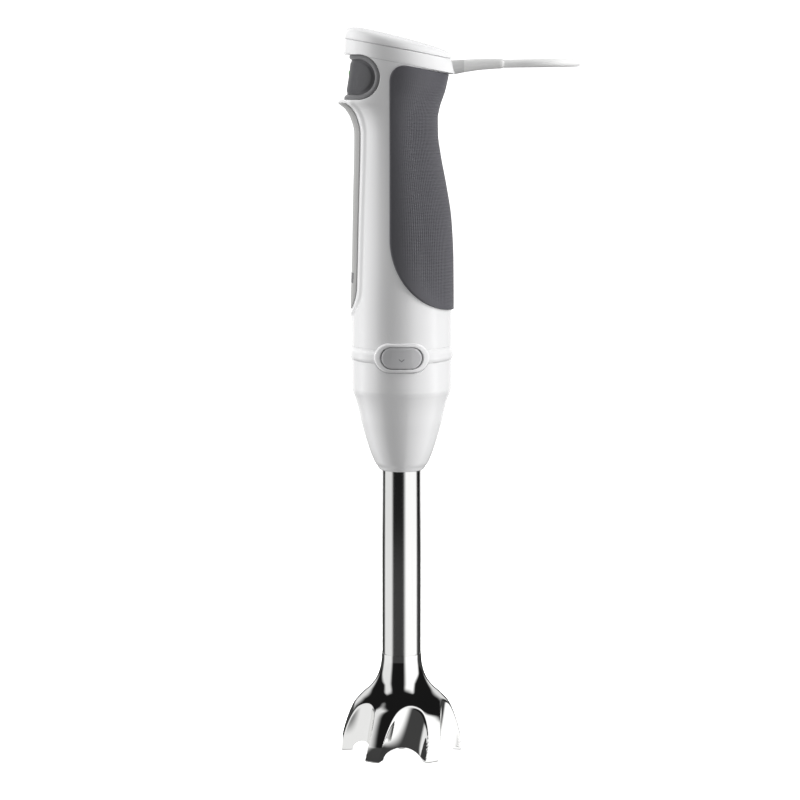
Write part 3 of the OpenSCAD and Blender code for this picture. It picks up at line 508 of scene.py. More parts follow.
a = around_body(33, 190, 70)
flat = body_r * np.cos(a)
rim_half, rim_r, ring_top_z = 6.2, 7.4, 212.6                  # the raised rim's outline, the ring's top
near = np.abs(flat) < rim_half + rim_r
lift = np.sqrt(np.maximum(rim_r ** 2 - np.maximum(np.abs(flat) - rim_half, 0) ** 2, 0))
ring_low = np.where(near, np.minimum(part_z + 0.06, release_z - lift), part_z + 0.06)
ring_high = np.where(near, np.maximum(ring_top_z, release_z + lift), ring_top_z)
share = 0.5 - 0.5 * np.cos(np.linspace(0, np.pi, 56))[:, None]
z = ring_low + share * (ring_high - ring_low)
x = np.broadcast_to(flat, z.shape)
bead = monotone([205.5, 205.9, 206.5, 207.5, 209.5, 210.5, 211.1, 211.6, 213],
                [25.52, 25.8, 26.15, 26.4, 26.4, 26.15, 25.8, 25.54, 25.52], z)
rim = pill_distance(x, z, rim_half, rim_r)
rim = body_r + 1.3 * monotone([-9, -1.3, -0.6, -0.15, 0, 1], [1, 1, 0.86, 0.45, 0.0, 0.0], rim)
near_hole = np.abs(x) < 15
ring_r = np.where(near_hole, -softer_min(-bead, -rim, 0.5), bead)
ring_skin = np.stack([ring_r * np.cos(a), ring_r * np.sin(a), z], -1)
hole_half, hole_r = 4.8, 5.7
hole = pill_distance(x, z, hole_half, hole_r)


def edges_of(faces):
    """Directed edges of an array of faces, as pairs of point numbers."""
    return np.concatenate([np.stack([faces[:, k], faces[:, (k + 1) % faces.shape[1]]], 1)
                           for k in range(faces.shape[1])])


def pocket(grid, distance, into, toward, fillet, depth):
    """Sinks the part of a grid where distance < 0 by depth along `into`, with a crisp edge. Grid points next
    to the outline move onto it along their row or column; the wall is rounded by `fillet` toward `toward`.
    Returns points, quads and triangles."""
    grid, value = grid.copy(), distance - fillet
    rows, columns = value.shape
    best, move = np.full(value.shape, 0.5), np.zeros(grid.shape)
    for axis, step in ((0, 1), (0, -1), (1, 1), (1, -1)):
        other, target = np.roll(value, -step, axis), np.roll(grid, -step, axis)
        cross = value * other < 0
        if axis == 0:
            cross[-1 if step == 1 else 0] = False
        share = np.where(cross, value / np.where(cross, value - other, 1), 1)
        nearer = share <= best
        best = np.where(nearer, share, best)
        move = np.where(nearer[..., None], share[..., None] * (target - grid), move)
    snapped = (best < 0.5) | ((np.abs(move).sum(-1) > 0))
    grid, value = grid + move, np.where(snapped, 0, value)
    quads = grid_faces(rows, columns)
    flat_value, points = value.ravel(), grid.reshape(-1, 3)
    corner = flat_value[quads]
    other_way = (corner[:, 1] == 0) & (corner[:, 3] == 0)
    first = np.where(other_way[:, None], quads[:, [0, 1, 3]], quads[:, [0, 1, 2]])
    second = np.where(other_way[:, None], quads[:, [1, 2, 3]], quads[:, [0, 2, 3]])
    mixed = ~((corner > 0).all(1) | (corner < 0).all(1))
    triangles = np.concatenate([first[mixed], second[mixed]])
    sunk_tri = flat_value[triangles].sum(1) < 0
    sunk_quad = (corner < 0).all(1)
    quads = quads[~mixed]
    sunk_quad = sunk_quad[~mixed]
    n = len(points)
    into, toward = into.reshape(-1, 3), toward.reshape(-1, 3)
    sunk = np.concatenate([edges_of(triangles[sunk_tri]), edges_of(quads[sunk_quad])])
    kept = np.concatenate([edges_of(triangles[~sunk_tri]), edges_of(quads[~sunk_quad])])
    edge = sunk[np.isin(sunk[:, 1] * n + sunk[:, 0], kept[:, 0] * n + kept[:, 1])]
    layers, faces = [points], []
    turns = np.radians([30, 60, 90])
    for s, c in [(fillet * np.sin(b), fillet * (1 - np.cos(b))) for b in turns] + [(fillet, depth)]:
        layers.append(points + toward * s + into * c)
    for k in range(len(layers) - 1):
        faces.append(np.stack([edge[:, 0] + k * n, edge[:, 1] + k * n, edge[:, 1] + (k + 1) * n,
                               edge[:, 0] + (k + 1) * n], 1))
    last = (len(layers) - 1) * n
    rim_points = np.unique(edge)
    floor_layer = points + into * depth
    floor_layer[rim_points] = (points + toward * fillet + into * depth)[rim_points]
    layers[-1] = floor_layer
    return (np.concatenate(layers), [quads[~sunk_quad]] + faces + [quads[sunk_quad] + last],
            [triangles[~sunk_tri], triangles[sunk_tri] + last])


def trimmed(name, points, faces):
    """A piece from these points and faces without the points that no face uses."""
    faces = [f for f in faces if len(f)]
    used, compact = np.unique(np.concatenate([f.ravel() for f in faces]), return_inverse=True)
    parts = np.split(compact, np.cumsum([f.size for f in faces])[:-1])
    return mesh_object(name, points[used], [part.reshape(f.shape) for part, f in zip(parts, faces)])


into = np.broadcast_to(np.stack([-np.cos(a), -np.sin(a), 0 * a], -1), ring_skin.shape)
slope = np.stack([np.sign(x) * np.maximum(np.abs(x) - hole_half, 0), 0 * x, z - release_z], -1)
toward = -slope / np.maximum(np.linalg.norm(slope, axis=-1, keepdims=True), 1e-6)
points, quads, triangles = pocket(ring_skin, np.where(near_hole, hole, 9.0), into, toward, 0.25, 4.2)
# the back of the ring: a plain inner wall joined to both edges
count, rows, columns = len(points), *ring_skin.shape[:2]
back = ring_skin[[0, -1]].copy()
back[..., :2] = unit(back[..., :2]) * 23.2
points = np.concatenate([points, back.reshape(-1, 3)])
c = np.arange(columns)
d = (c + 1) % columns
last = (rows - 1) * columns
wall_low = np.stack([d, c, count + c, count + d], 1)
wall_high = np.stack([last + c, last + d, count + columns + d, count + columns + c], 1)
wall_back = np.stack([count + c, count + columns + c, count + columns + d, count + d], 1)
ring = trimmed("release_ring_trim", points, quads + triangles + [wall_low, wall_high, wall_back])
fit_out(ring, "handle", "white_gloss", gloss_white, "release_ring")

# ---- release buttons -------------------------------------------------------------------------
# Two light grey moulded buttons, one on each side, each with a small pointer pressed into its face and
# painted darker as shade in its groove. Pressing both draws in the latches.

button_grey, start = new_finish("button_grey")
where, x, y, z = place(start)
pointer = abs(z - (release_z - 1.6) / 1000 - abs(x) * 0.8)
# painted shade: the pointer's groove is painted dark grey, and the same mask sinks it by bump
pointer_groove_and_shade = pointer.steps(0.00022, 0.00042, 1, 0) * abs(x).steps(0.0013, 0.0015, 1, 0)
fine = wear(start, 1500.0, 2.0)
shine(start, {"Base Color": tint(start, pointer_groove_and_shade, (0.53, 0.53, 0.54), (0.25, 0.25, 0.26)),
              "Roughness": 0.34 + 0.08 * fine, "Coat Weight": 0.1}, fine - 2.0 * pointer_groove_and_shade, 0.12, 0.00008)
t = np.linspace(0, 2 * np.pi, 96, endpoint=False)
release_w, release_h = 20.4, 10.8
straight, end_r = (release_w - release_h) / 2, release_h / 2
rows = []
for inset, r in ((0.0, 22.0), (0.0, 26.2), (0.06, 26.45), (0.25, 26.68), (0.6, 26.79), (1.2, 26.76),
                 (2.2, 26.7), (3.4, 26.66), (4.6, 26.64), (5.39, 26.64)):
    px = np.sign(np.cos(t)) * straight * np.minimum(1, np.abs(np.cos(t)) * 60) + (end_r - inset) * np.cos(t)
    pz = release_z + (end_r - inset) * np.sin(t)
    rows.append(np.stack([px, np.sqrt(r * r - px * px), pz], -1))
rows = np.array(rows)
for name, body, sign in (("release_key_left", "release_left", -1), ("release_key_right", "release_right", 1)):
    key = skin(name, rows * [sign, sign, 1], ends=True)
    fit_out(key, body, "button_light_grey", button_grey, "release_button_" + name[12:])

# ---- handle shell ----------------------------------------------------------------------------
# Glossy white moulding, round at the foot and waisted above, with a finger hook under the button and
# a slanted collar at the top. A raised rim frames the grey strip down its front.

tip = 10.7
levels = np.array([
    # height, tip of the section, centre x, front x, rear x, half width
    [212.65, 0, 0, -25.5, 25.5, 25.5], [230, 0, 0, -25.5, 25.5, 25.5], [256, 0, 0, -24.8, 25.3, 25.2],
    [277, 0, -0.5, -24.4, 24.2, 24.4], [294, 0, -1.5, -24, 21.6, 23.4], [310, 0, -2.5, -23.6, 18.6, 22.5],
    [320, 0, -3, -23.5, 17.3, 22.1], [328, 0, -3.2, -25.4, 17.2, 22], [332, 1, -3.2, -28.2, 17.8, 22.1],
    [335.4, 1.5, -3, -32.2, 18.6, 22.2], [337.6, 3, -3, -31.6, 19.2, 22.3], [345, 8, -1.5, -30.2, 21, 23],
    [354.9, tip, -1, -29.2, 22.9, 24.2]])
collar_levels = np.array([[354.9, tip, -1, -29.2, 27, 24.2], [362, tip, -1.5, -29, 25.2, 24.4]])


def section(table, height):
    """The table's columns at these heights: tip, centre x, front x, rear x and half width."""
    return [monotone(table[:, 0], table[:, k], height) for k in range(1, 6)]


def egg(cut, height, a, grow=0.0):
    """Points at angle a of an egg-shaped section that is grown outward: x from its centre toward front or
    rear, y across, and z lowered toward the rear by the tangent of the tip."""
    tipped, middle, front, rear, half = cut
    reach = np.where(np.cos(a) < 0, middle - front, rear - middle) + grow
    x = middle + reach * np.cos(a)
    z = height - np.tan(np.radians(tipped)) * x
    return np.stack(np.broadcast_arrays(x, (half + grow) * np.sin(a), z), -1)


def around_handle(fine, coarse):
    """Angles round a section, `fine` apart at the front half and `coarse` at the rear, in degrees."""
    return np.radians(np.concatenate([np.arange(-90, 90, coarse), np.arange(90, 270, fine)]))


strip_low_z, strip_half = 242.5, 11.35


def strip_distance(x, y, z):
    """Distance from the middle line of the front strip, whose low end is round; far away on the rear half."""
    return np.where(x < -6, np.where(z > strip_low_z, np.abs(y), np.hypot(y, z - strip_low_z)), 99)


a = around_handle(1.15, 3.0)
shell_low_z, hook_z, collar_low_z = levels[0, 0], 322, levels[-1, 0]
height = np.concatenate([np.arange(shell_low_z, hook_z, 0.66), np.arange(hook_z, collar_low_z, 0.42),
                         [collar_low_z]])[:, None]
body = egg(section(levels, height), height, a)
ridge_at, ridge_half, ridge_h = 13.8, 2.3, 0.75                # the raised rim round the front strip
across = (strip_distance(*body.transpose(2, 0, 1)) - ridge_at) / ridge_half
push = ridge_h * np.cos(np.clip(across, -1, 1) * np.pi / 2) ** 2
push *= np.clip((337.0 - height) / 3.0, 0, 1)
body = egg(section(levels, height), height, a, push)
collar_z = np.array([[354.9], [355.0], [355.5], [357], [359], [361.3], [361.75], [361.95], [362.0]])
collar_in = np.array([[-0.5], [-0.12], [0], [0], [0], [0], [-0.08], [-0.3], [-0.7]])
collar = egg(section(collar_levels, collar_z), collar_z, a, collar_in)
top_in = egg(section(collar_levels, np.array([[362.0]])), np.array([[362.0]]), a, -5.0)
hollow_z = np.array([[355], [338], [330], [310], [290], [260], [230], [212.65]])
hollow = egg(section(levels, hollow_z), hollow_z, a, -2.2)
hollow[:3] = egg(section(levels, hollow_z[:3]), hollow_z[:3], a, -7.0)
loop = np.concatenate([body, collar])
button_x, button_z, button_r = -22.0, 348.2, 11.2


def d_distance(x, z):
    """Distance from the middle line of the D-shaped button opening, as it is seen from the side."""
    return np.hypot(np.maximum(x - button_x, 0), z - button_z)


opening = np.where(loop[..., 0] < 0, d_distance(loop[..., 0], loop[..., 2]) - button_r, 20)
into = unit((np.array([-1.0, 0, 0]) - loop) * [1, 1, 0])
slope = np.stack([np.maximum(loop[..., 0] - button_x, 0), 0 * opening, loop[..., 2] - button_z], -1)
toward = -slope / np.maximum(np.linalg.norm(slope, axis=-1, keepdims=True), 1e-6)
points, quads, triangles = pocket(loop, opening, into, toward, 0.45, 6.9)
inner = np.concatenate([top_in, hollow])
count, rows, columns = len(points), *loop.shape[:2]
points = np.concatenate([points, inner.reshape(-1, 3)])
c = np.arange(columns)
d = (c + 1) % columns
last = (rows - 1) * columns
foot = count + (len(inner) - 1) * columns
joins = [np.stack([last + c, last + d, count + d, count + c], 1),
         grid_faces(len(inner), columns, first=count), np.stack([foot + c, foot + d, d, c], 1)]
shell = trimmed("handle_body", points, quads + triangles + joins)
fit_out(shell, "handle", "white_gloss", gloss_white, "handle_shell")

# ---- front strip -----------------------------------------------------------------------------
# Satin grey strip snapped into the rim down the front, from the hook to its round end above the ring.
# A small blank dark window lies across its lower part.

rows_z = np.concatenate([strip_low_z - 11.5 * np.cos(np.radians(np.linspace(2, 90, 40))),
                         np.arange(243.5, 335.0, 0.8)])[:, None]
share = np.linspace(-1, 1, 61)[None]
share = np.sign(share) * (1 - (1 - np.abs(share)) ** 1.6)
cut = section(levels, rows_z)
half_w = np.sqrt(np.maximum(strip_half ** 2 - np.maximum(strip_low_z - rows_z, 0) ** 2, 0.2))
a = np.pi - np.arcsin(np.clip(share * half_w / cut[4], -1, 1))
inset = strip_half - strip_distance(-20.0 + 0 * a, share * half_w + 0 * a, rows_z + 0 * a)
raise_by = 0.05 + 0.5 * np.sqrt(np.clip(1 - (1 - np.clip(inset / 0.8, 0, 1)) ** 2, 0, 1))
raise_by *= np.clip((336.4 - rows_z) / 2.5, 0, 1)
top = egg(cut, rows_z, a, raise_by)
under = egg(cut, rows_z, a, -0.6)


def slab(name, top, under):
    """Closed plate between two open grids of the same size."""
    rows, columns = top.shape[:2]
    n = rows * columns
    face = grid_faces(rows, columns, around=False)
    index = np.arange(n).reshape(rows, columns)
    rim = np.concatenate([index[0, :-1], index[:-1, -1], index[-1, :0:-1], index[:0:-1, 0]])
    after = np.roll(rim, -1)
    return mesh_object(name, np.concatenate([top.reshape(-1, 3), under.reshape(-1, 3)]),
                       [face, face[:, ::-1] + n, np.stack([after, rim, rim + n, after + n], 1)])


strip_grey, start = new_finish("strip_grey")
fine = wear(start, 700.0, 3.0)
shine(start, {"Base Color": tint(start, wear(start, 30.0), (0.33, 0.33, 0.325), (0.37, 0.37, 0.365)),
              "Roughness": 0.30 + 0.12 * fine, "Coat Weight": 0.1}, fine, 0.08, 0.00006)
fit_out(slab("front_inlay", top, under), "handle", "strip_grey", strip_grey, "front_strip")

window_z = np.linspace(244.8, 250.0, 9)[:, None]
a = np.pi - np.arcsin(np.linspace(-1, 1, 25)[None] * 7.6 / 25.2)
window_cut = section(levels, window_z)
window_grey, start = new_finish("window_dark")
fine = wear(start, 500.0, 2.0)
shine(start, {"Base Color": tint(start, fine, (0.055, 0.055, 0.06), (0.07, 0.07, 0.075)),
              "Roughness": 0.22 + 0.05 * fine})
fit_out(slab("strip_window", egg(window_cut, window_z, a, 0.62), egg(window_cut, window_z, a, 0.2)),
        "handle", "bezel_grey", window_grey)

# ---- soft grip -------------------------------------------------------------------------------
# Dark grey rubber moulded over the back and both sides. Fine dimples cover it and fade out toward
# its smooth front edge and its top.

grip_t, grip_edge_x, grip_top, grip_low, corner_r = 1.2, -6.0, 354.35, 231.0, 9.0
low_rows = grip_low + 37 * (1 - np.cos(np.radians(np.linspace(4, 90, 70))))
rows_z = np.concatenate([low_rows, np.arange(268.6, 345.0, 0.8), grip_top - 9.2 * (1 - np.sin(np.radians(
    np.linspace(2, 84, 34)))), grip_top - np.array([0.035, 0.02, 0.008, 0.0])])[:, None]
cut = section(levels, rows_z)
edge_x = np.where(rows_z < 268, 29 - 35 * np.sqrt(np.clip(1 - ((268 - rows_z) / 37) ** 2, 0, 1)), grip_edge_x)
up = np.clip(rows_z - (grip_top - corner_r), 0, corner_r)
corner_x = grip_edge_x + corner_r - np.sqrt(corner_r ** 2 - up ** 2)
edge_x = np.where(rows_z > grip_top - corner_r, corner_x, edge_x)
reach = np.where(edge_x < cut[1], cut[1] - cut[2], cut[3] - cut[1])
end_a = np.arccos(np.clip((edge_x - cut[1]) / reach, -1, 0.9995))
mean_r = 24.0
long_way = end_a * mean_r                                      # half the row's length, in mm
margin = np.array([0, 0.08, 0.25, 0.5, 0.8, 1.2, 1.7])
middle = np.linspace(0, 1, 108)
from_edge = np.minimum(margin, long_way * 0.5 * margin / 1.7)
left = -1 + from_edge / long_way
width = 1 - from_edge[:, -1:] / long_way
share = np.concatenate([left, (-width + 2 * width * middle[1:-1]), -left[:, ::-1]], 1)
a = share * end_a
side_gap = (1 - np.abs(share)) * long_way
top_gap = (grip_top - rows_z) + 0 * a
gap = softer_min(side_gap, top_gap, 1.2)
raise_by = 0.05 + (grip_t - 0.05) * np.sqrt(np.clip(1 - (1 - np.clip(gap / 1.15, 0, 1)) ** 2, 0, 1))
top = egg(cut, rows_z, a, raise_by)
under = egg(cut, rows_z, a, -0.5)
grip = slab("grip_rubber", top, under)
layer = grip.data.uv_layers.new(name="grip_wrap")
index = np.zeros(len(grip.data.loops), np.int32)
grip.data.loops.foreach_get("vertex_index", index)
wrap = np.concatenate([np.stack([share * long_way, rows_z + 0 * a], -1).reshape(-1, 2)] * 2) / 10
layer.data.foreach_set("uv", wrap[index].astype(np.float32).ravel())
fade = grip.data.attributes.new("dimple", "FLOAT", "POINT")
strength = np.clip((side_gap - 4.0) / 16.0, 0, 1) * np.clip((352 - rows_z) / 30, 0, 1)
fade.data.foreach_set("value", np.concatenate([strength.ravel()] * 2).astype(np.float32))
grip_rubber, start = new_finish("grip_rubber")
wrapped = start.node("UVMap", {"uv_map": "grip_wrap"})
apart = start.node("SeparateXYZ", {}, {0: wrapped})
u, v = apart, Shade(start.tree, apart.socket.node.outputs[1])
pitch = 2 * np.pi * 10 / 2.1
dimples = start.math("SINE", (u + 0.62 * v) * pitch) * start.math("SINE", (0.62 * v - u) * pitch)
amount = start.node("Attribute", {"attribute_name": "dimple"}, out=2)
fine = wear(start, 1400.0, 2.0)
# painted light and shade: the rubber's colour is lighter on the dimples' crowns and darker in their hollows,
# following the bump
colour = tint(start, (0.5 + 0.5 * dimples) * amount, (0.088, 0.087, 0.098), (0.112, 0.111, 0.124))
shine(start, {"Base Color": colour, "Roughness": 0.46 + 0.08 * fine, "Sheen Weight": 0.05},
      dimples * amount + 0.08 * fine, 0.8, 0.0004)
fit_out(grip, "handle", "grip_grey", grip_rubber, "grip_panel")

# ---- button frame and button -----------------------------------------------------------------
# Satin grey frame with the shape of a D lying on its side, which wraps round the front, and inside it
# the darker press button with a bevelled edge. A small green lamp shows through its face.

pad_levels = np.array([[336, 0, -3, -28.3, 18, 21.2], [342, 0, -2, -27.5, 20, 21.5],
                       [347, 0, -1.5, -26.7, 21, 21.9], [352, 0, -1, -26, 22, 22.2],
                       [360.5, 0, -1, -25.2, 22, 22.6]])


def d_band(r, grow):
    """Closed rows round the D: for each (r, grow) pair the line at distance r from its middle, on the pad's
    surface grown by `grow`. Half circles on both flanks join straight runs round the front."""
    r, grow = np.asarray(r, float)[:, None], np.asarray(grow, float)[:, None]
    bend = np.radians(np.linspace(90, -90, 60))[None]
    front = np.linspace(0, 1, 44)[None, 1:-1]

    def surface(x, z, sign):
        cut = section(pad_levels, z)
        reach = np.where(x < cut[1], cut[1] - cut[2], cut[3] - cut[1]) + grow
        y = (cut[4] + grow) * np.sqrt(np.clip(1 - ((x - cut[1]) / reach) ** 2, 0, 1))
        return np.stack(np.broadcast_arrays(x, sign * y, z), -1)

    def front_run(z, sign):
        cut = section(pad_levels, z + 0 * r)
        reach = cut[1] - cut[2] + grow
        end = np.arccos(np.clip((cut[1] - button_x) / reach, -1, 1))
        b = end * (1 - 2 * front) * sign
        x, y = cut[1] - reach * np.cos(b), (cut[4] + grow) * np.sin(b)
        return np.stack(np.broadcast_arrays(x, y, z + 0 * b), -1)

    x, z = button_x + r * np.cos(bend), button_z + r * np.sin(bend)
    return np.concatenate([surface(x, z, -1), front_run(button_z - r, -1), surface(x[:, ::-1], z[:, ::-1], 1),
                           front_run(button_z + r, 1)], 1)


frame_line = [(11.15, -1.4), (11.15, 0.55), (11.05, 0.8), (10.8, 0.92), (9.9, 0.92), (9.6, 0.86), (9.35, 0.7),
              (8.85, 0.22), (8.8, 0.1), (8.8, -0.02), (9.0, -0.02), (10.7, -0.02), (10.7, -1.4)]
frame_grey, start = new_finish("frame_grey")
fine = wear(start, 900.0, 2.0)
shine(start, {"Base Color": tint(start, fine, (0.16, 0.16, 0.165), (0.185, 0.185, 0.19)),
              "Roughness": 0.33 + 0.1 * fine}, fine, 0.1, 0.00006)
bezel = skin("button_frame", d_band(*zip(*frame_line)), along=True)
fit_out(bezel, "handle", "bezel_grey", frame_grey, "button_bezel")

pad_line = [(9.1, -1.4), (9.1, -0.5), (8.9, -0.34), (8.0, -0.3), (7.75, -0.26), (7.0, 0.12), (6.7, 0.18),
            (5.5, 0.2), (4, 0.2), (2, 0.2), (0.6, 0.2), (0, 0.2)]
pad_back = [(0, -1.4), (3, -1.4), (6, -1.4)]
pad_dark, start = new_finish("button_dark")
fine = wear(start, 1100.0, 3.0)
shine(start, {"Base Color": tint(start, fine, (0.075, 0.075, 0.08), (0.095, 0.095, 0.10)),
              "Roughness": 0.38 + 0.1 * fine}, fine, 0.12, 0.00006)
press = skin("press_button", d_band(*zip(*(pad_line + pad_back))), along=True)
fit_out(press, "main_button", "button_dark", pad_dark, "main_button")

# the lamp of the button, a lens in the button's bevelled face
a = np.linspace(0, 2 * np.pi, 40, endpoint=False)
lens_rows = []
for push, r in ((-25.9, 1.2), (-26.45, 1.2), (-26.6, 1.1), (-26.7, 0.8), (-26.74, 0.4)):
    lens_rows.append(np.stack([push + 0 * a, r * np.cos(a), 350.2 + r * np.sin(a)], -1))
green_lens, start = new_finish("green_lens")
glint = wear(start, 2500.0, 2.0)
shine(start, {"Base Color": tint(start, glint, (0.16, 0.55, 0.12), (0.25, 0.68, 0.18)),
              "Roughness": 0.15 + 0.08 * glint, "Emission Color": (0.25, 0.9, 0.2),
              "Emission Strength": 0.12})
lamp = skin("button_lamp", np.array(lens_rows), ends=True)
fit_out(lamp, "main_button", "green_lens", green_lens, "button_light")

# ---- top cap ---------------------------------------------------------------------------------
# Glossy white lid, slanted like the collar it is snapped into, with a soft round edge and a fine
# parting groove below it.

a = around_handle(2.0, 3.0)
cap_line = [(0, 0.965), (0.05, 0.985), (0.35, 1.0), (0.7, 1.0), (1.4, 0.996), (2.2, 0.988), (2.9, 0.977),
            (3.6, 0.957), (4.2, 0.93), (4.7, 0.89), (5.1, 0.84), (5.5, 0.76), (5.8, 0.65), (6.0, 0.53),
            (6.12, 0.4), (6.18, 0.25), (6.2, 0.1)]
rows = []
for up, s in [(-0.6, 0.9)] + cap_line:
    cut = [tip + 0.58 * up, -1.5, -1.5 - 27.6 * s, -1.5 + 26.8 * s, 24.5 * s]
    rows.append(egg(cut, 362.06 + up, a))
cap = skin("lid", np.array(rows), ends=True)
fit_out(cap, "handle", "white_gloss", gloss_white, "top_cap")

# ---- cord sleeve, plug and tie ---------------------------------------------------------------
# Soft tapered sleeve at the handle, moulded on the cord; a two-pin plug with its own bend relief at
# the far end; and the wire tie that holds the folded cord.


def rounded_box(half_w, half_h, r, n=12):
    """Outline of a rectangle with round corners, n points a corner."""
    q = np.radians(np.linspace(0, 90, n))
    w, h = half_w - r, half_h - r
    corners = [np.stack([sx * w + r * np.cos(q + k * np.pi / 2), sy * h + r * np.sin(q + k * np.pi / 2)], 1)
               for k, (sx, sy) in enumerate(((1, 1), (-1, 1), (-1, -1), (1, -1)))]
    return np.concatenate(corners)


sleeve_line = flow([[20.0, 0, 353.1], [25.6, 0, 353.2], [32, 0, 353.9], [38, 0, 354.5], [44, 0, 354.85],
                    [48, 0, 355], [51.2, 0, 355.0]], 60)
s = np.linspace(0, 1, 60)
sleeve_w = monotone([0, 0.16, 0.30, 0.6, 0.9, 0.97, 1], [4.5, 4.5, 4.35, 3.75, 3.25, 3.1, 2.6], s)
sleeve_h = monotone([0, 0.16, 0.30, 0.6, 0.9, 0.97, 1], [3.5, 3.5, 3.3, 2.85, 2.55, 2.45, 2.2], s)
outline = np.stack([rounded_box(w, h, min(w, h) * 0.9) for w, h in zip(sleeve_w, sleeve_h)])
sleeve = skin("cord_sleeve_soft", sweep(sleeve_line, outline), ends=True)
sleeve_pvc, start = new_finish("sleeve_pvc")
where, x, y, z = place(start)
# painted shade: the sleeve's root by the handle, out to x = 31.2 mm, is painted a darker grey where shade
# falls beside the handle
root = x.steps(0.0312, 0.0316, 1, 0)
cloud = wear(start, 300.0)
shine(start, {"Base Color": tint(start, root, (0.72, 0.72, 0.715), (0.56, 0.56, 0.56)),
              "Roughness": 0.4 + 0.1 * cloud}, cloud, 0.1, 0.0001)
fit_out(sleeve, "handle", "cord_white", sleeve_pvc, "cord_sleeve")

plug_y, plug_l = 110, 22
t = np.linspace(0, 1, 30)
relief = flow([[0, 96.6, 9.9], [0, 98.1, 9.8], [0, 104, 8.5], [0, plug_y, 7.2]], 30)
relief_r = monotone([0, 0.06, 0.12, 1], [2.1, 2.3, 2.5, 4.4], t)
flare = flow([[0, plug_y, 7.2], [0, plug_y + 4, 7.05], [0, plug_y + 8, 7.0], [0, plug_y + plug_l, 7.0]], 40)
v = np.linspace(0, 1, 40)
body_w = monotone([0, 0.04, 0.15, 0.4, 0.93, 0.975, 1], [7.0, 8.0, 9.4, 11.4, 11.6, 11.3, 10.4], v)
body_h = monotone([0, 0.04, 0.15, 0.4, 0.93, 0.975, 1], [5.2, 5.8, 6.3, 6.9, 6.95, 6.7, 6.0], v)
plug_line = np.concatenate([relief, flare[1:]])
plug_w, plug_h = np.concatenate([relief_r, body_w[1:]]), np.concatenate([relief_r, body_h[1:]])
outline = np.stack([rounded_box(w, h, min(w, h) * 0.82) for w, h in zip(plug_w, plug_h)])
plug = skin("plug_moulding", sweep(plug_line, outline), ends=True)
plug_pvc, start = new_finish("plug_pvc")
cloud = wear(start, 260.0)
shine(start, {"Base Color": tint(start, cloud, (0.78, 0.78, 0.775), (0.83, 0.83, 0.825)),
              "Roughness": 0.34 + 0.1 * cloud, "Coat Weight": 0.1}, cloud, 0.1, 0.0001)
fit_out(plug, "foot", "cord_white", plug_pvc, "plug_body")

# a flat black wire tie round both runs of the hank, next to its near fold
b = np.linspace(0, 2 * np.pi, 73)[:-1]
tie_half_w, tie_half_h, tie_y, tie_z, boxy = 18.35, 4.1, 43.5, 4.55, 0.35
tie_line = np.stack([tie_half_w * np.sign(np.cos(b)) * np.abs(np.cos(b)) ** boxy, tie_y + 0 * b,
                     tie_z + tie_half_h * np.sign(np.sin(b)) * np.abs(np.sin(b)) ** boxy], 1)
tie_ahead = unit(np.roll(tie_line, -1, 0) - np.roll(tie_line, 1, 0))
tie_out = np.cross(tie_ahead, [0, 1, 0])
tie_cut = [(-0.35, -1.6), (0.35, -1.6), (0.35, 1.6), (-0.35, 1.6)]
tie_grid = np.stack([tie_line + u * tie_out + np.array([0, w, 0]) for u, w in tie_cut], 1)
tie = skin("wire_tie", tie_grid, along=True)
tie_black, start = new_finish("tie_plastic")
cloud = wear(start, 800.0)
shine(start, {"Base Color": tint(start, cloud, (0.03, 0.03, 0.03), (0.045, 0.045, 0.045)),
              "Roughness": 0.5 + 0.1 * cloud}, cloud, 0.1, 0.00006)
fit_out(tie, "foot", "tie_black", tie_black, "cord_tie")

# ---- parts inside, below and behind ----------------------------------------------------------
# The mechanism keeps its CAD shapes. Each family of material gets its own finish.

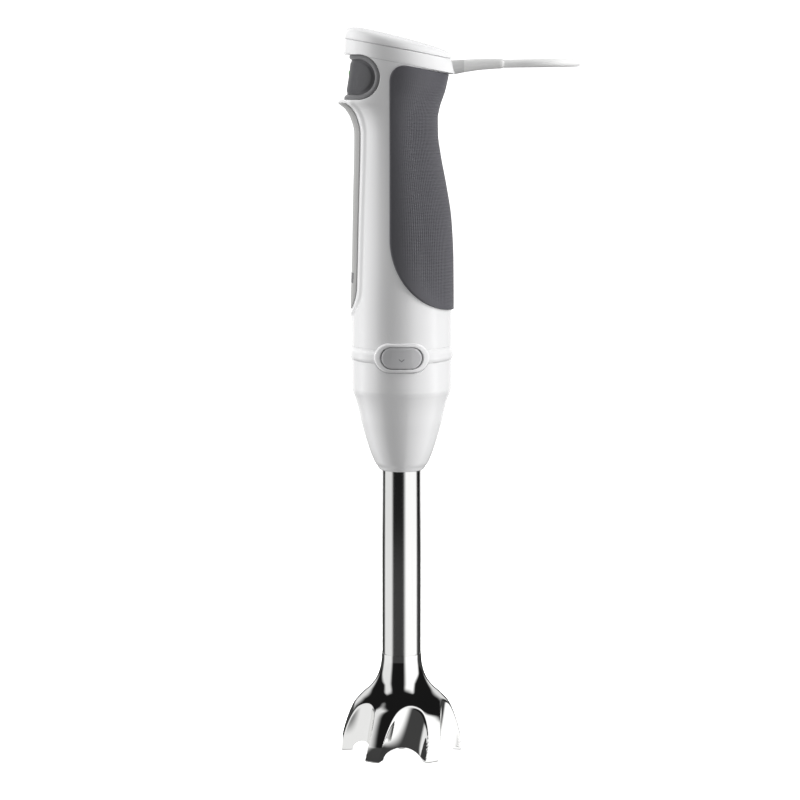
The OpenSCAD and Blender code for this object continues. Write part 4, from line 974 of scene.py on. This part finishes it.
families = {
    # slot: (first colour, second colour, metallic, roughness, grain cycles per metre, bump strength)
    "machined_steel": ((0.60, 0.60, 0.59), (0.68, 0.68, 0.67), 1.0, 0.22, 900, 0.10),
    "blade_steel": ((0.66, 0.66, 0.66), (0.74, 0.74, 0.74), 1.0, 0.16, 1400, 0.12),
    "spring_steel": ((0.42, 0.42, 0.42), (0.50, 0.50, 0.50), 1.0, 0.28, 1500, 0.08),
    "seal_rubber": ((0.02, 0.02, 0.02), (0.035, 0.035, 0.035), 0.0, 0.6, 1200, 0.15),
    "damper_rubber": ((0.025, 0.025, 0.027), (0.04, 0.04, 0.042), 0.0, 0.65, 1000, 0.15),
    "bronze": ((0.42, 0.26, 0.11), (0.52, 0.33, 0.15), 1.0, 0.35, 1300, 0.2),
    "inner_grey": ((0.22, 0.22, 0.225), (0.26, 0.26, 0.265), 0.0, 0.45, 700, 0.12),
    "coupling_black": ((0.025, 0.025, 0.026), (0.04, 0.04, 0.042), 0.0, 0.42, 900, 0.12),
    "black_plastic": ((0.02, 0.02, 0.021), (0.032, 0.032, 0.034), 0.0, 0.4, 900, 0.12),
    "red_plastic": ((0.45, 0.02, 0.015), (0.55, 0.035, 0.025), 0.0, 0.35, 900, 0.1),
    "white_matt": ((0.62, 0.61, 0.56), (0.70, 0.69, 0.64), 0.0, 0.5, 700, 0.12),
    "board_green": ((0.015, 0.10, 0.04), (0.03, 0.16, 0.07), 0.0, 0.35, 1600, 0.1),
    "capacitor_yellow": ((0.62, 0.40, 0.03), (0.70, 0.48, 0.05), 0.0, 0.35, 700, 0.08),
    "winding_copper": ((0.42, 0.15, 0.06), (0.60, 0.25, 0.11), 1.0, 0.32, 2600, 0.5),
    "copper_segments": ((0.62, 0.30, 0.17), (0.72, 0.38, 0.24), 1.0, 0.24, 1400, 0.12),
    "lamination_steel": ((0.20, 0.20, 0.20), (0.34, 0.34, 0.34), 1.0, 0.4, 2400, 0.4),
    "cast_alloy": ((0.42, 0.42, 0.43), (0.52, 0.52, 0.53), 1.0, 0.5, 1100, 0.35),
    "brass_sheet": ((0.62, 0.43, 0.16), (0.70, 0.50, 0.21), 1.0, 0.28, 1200, 0.1),
    "carbon": ((0.015, 0.015, 0.015), (0.03, 0.03, 0.03), 0.0, 0.55, 2600, 0.3),
    "blade_nickel": ((0.62, 0.60, 0.56), (0.70, 0.68, 0.64), 1.0, 0.2, 1200, 0.08),
}
finishes = {}
for slot, (first, second, metal, rough, cycles, strength) in families.items():
    finishes[slot], start = new_finish(slot + "_finish")
    grain = wear(start, float(cycles))
    worn = wear(start, 60.0)
    shine(start, {"Base Color": tint(start, worn, first, second), "Metallic": metal,
                  "Roughness": rough + 0.1 * worn}, grain, strength, 0.0001)
kept = {
    "machined_steel": "bearing_plug drive_shaft blade_hub blade_nut motor_shaft lower_bearing upper_bearing",
    "blade_steel": "blade", "seal_rubber": "shaft_seal", "bronze": "lower_bush upper_bush",
    "inner_grey": "foot_core cup_plate latch_collar switch_carrier cooling_fan",
    "coupling_black": "driven_coupling drive_coupling",
    "spring_steel": "latch_spring_left latch_spring_right collar_screws button_spring brush_springs",
    "black_plastic": "micro_switch", "red_plastic": "switch_plunger", "board_green": "control_board",
    "capacitor_yellow": "capacitor", "winding_copper": "choke armature_winding field_coils",
    "white_matt": "terminal_block", "lamination_steel": "armature_core field_core",
    "copper_segments": "commutator", "cast_alloy": "lower_bracket upper_bracket",
    "brass_sheet": "brush_holders", "carbon": "carbon_brushes", "damper_rubber": "motor_dampers",
    "blade_nickel": "plug_blades",
}
for slot, names in kept.items():
    for name in names.split():
        for worn_slot in bpy.data.objects[name].material_slots:
            worn_slot.material = finishes[slot]
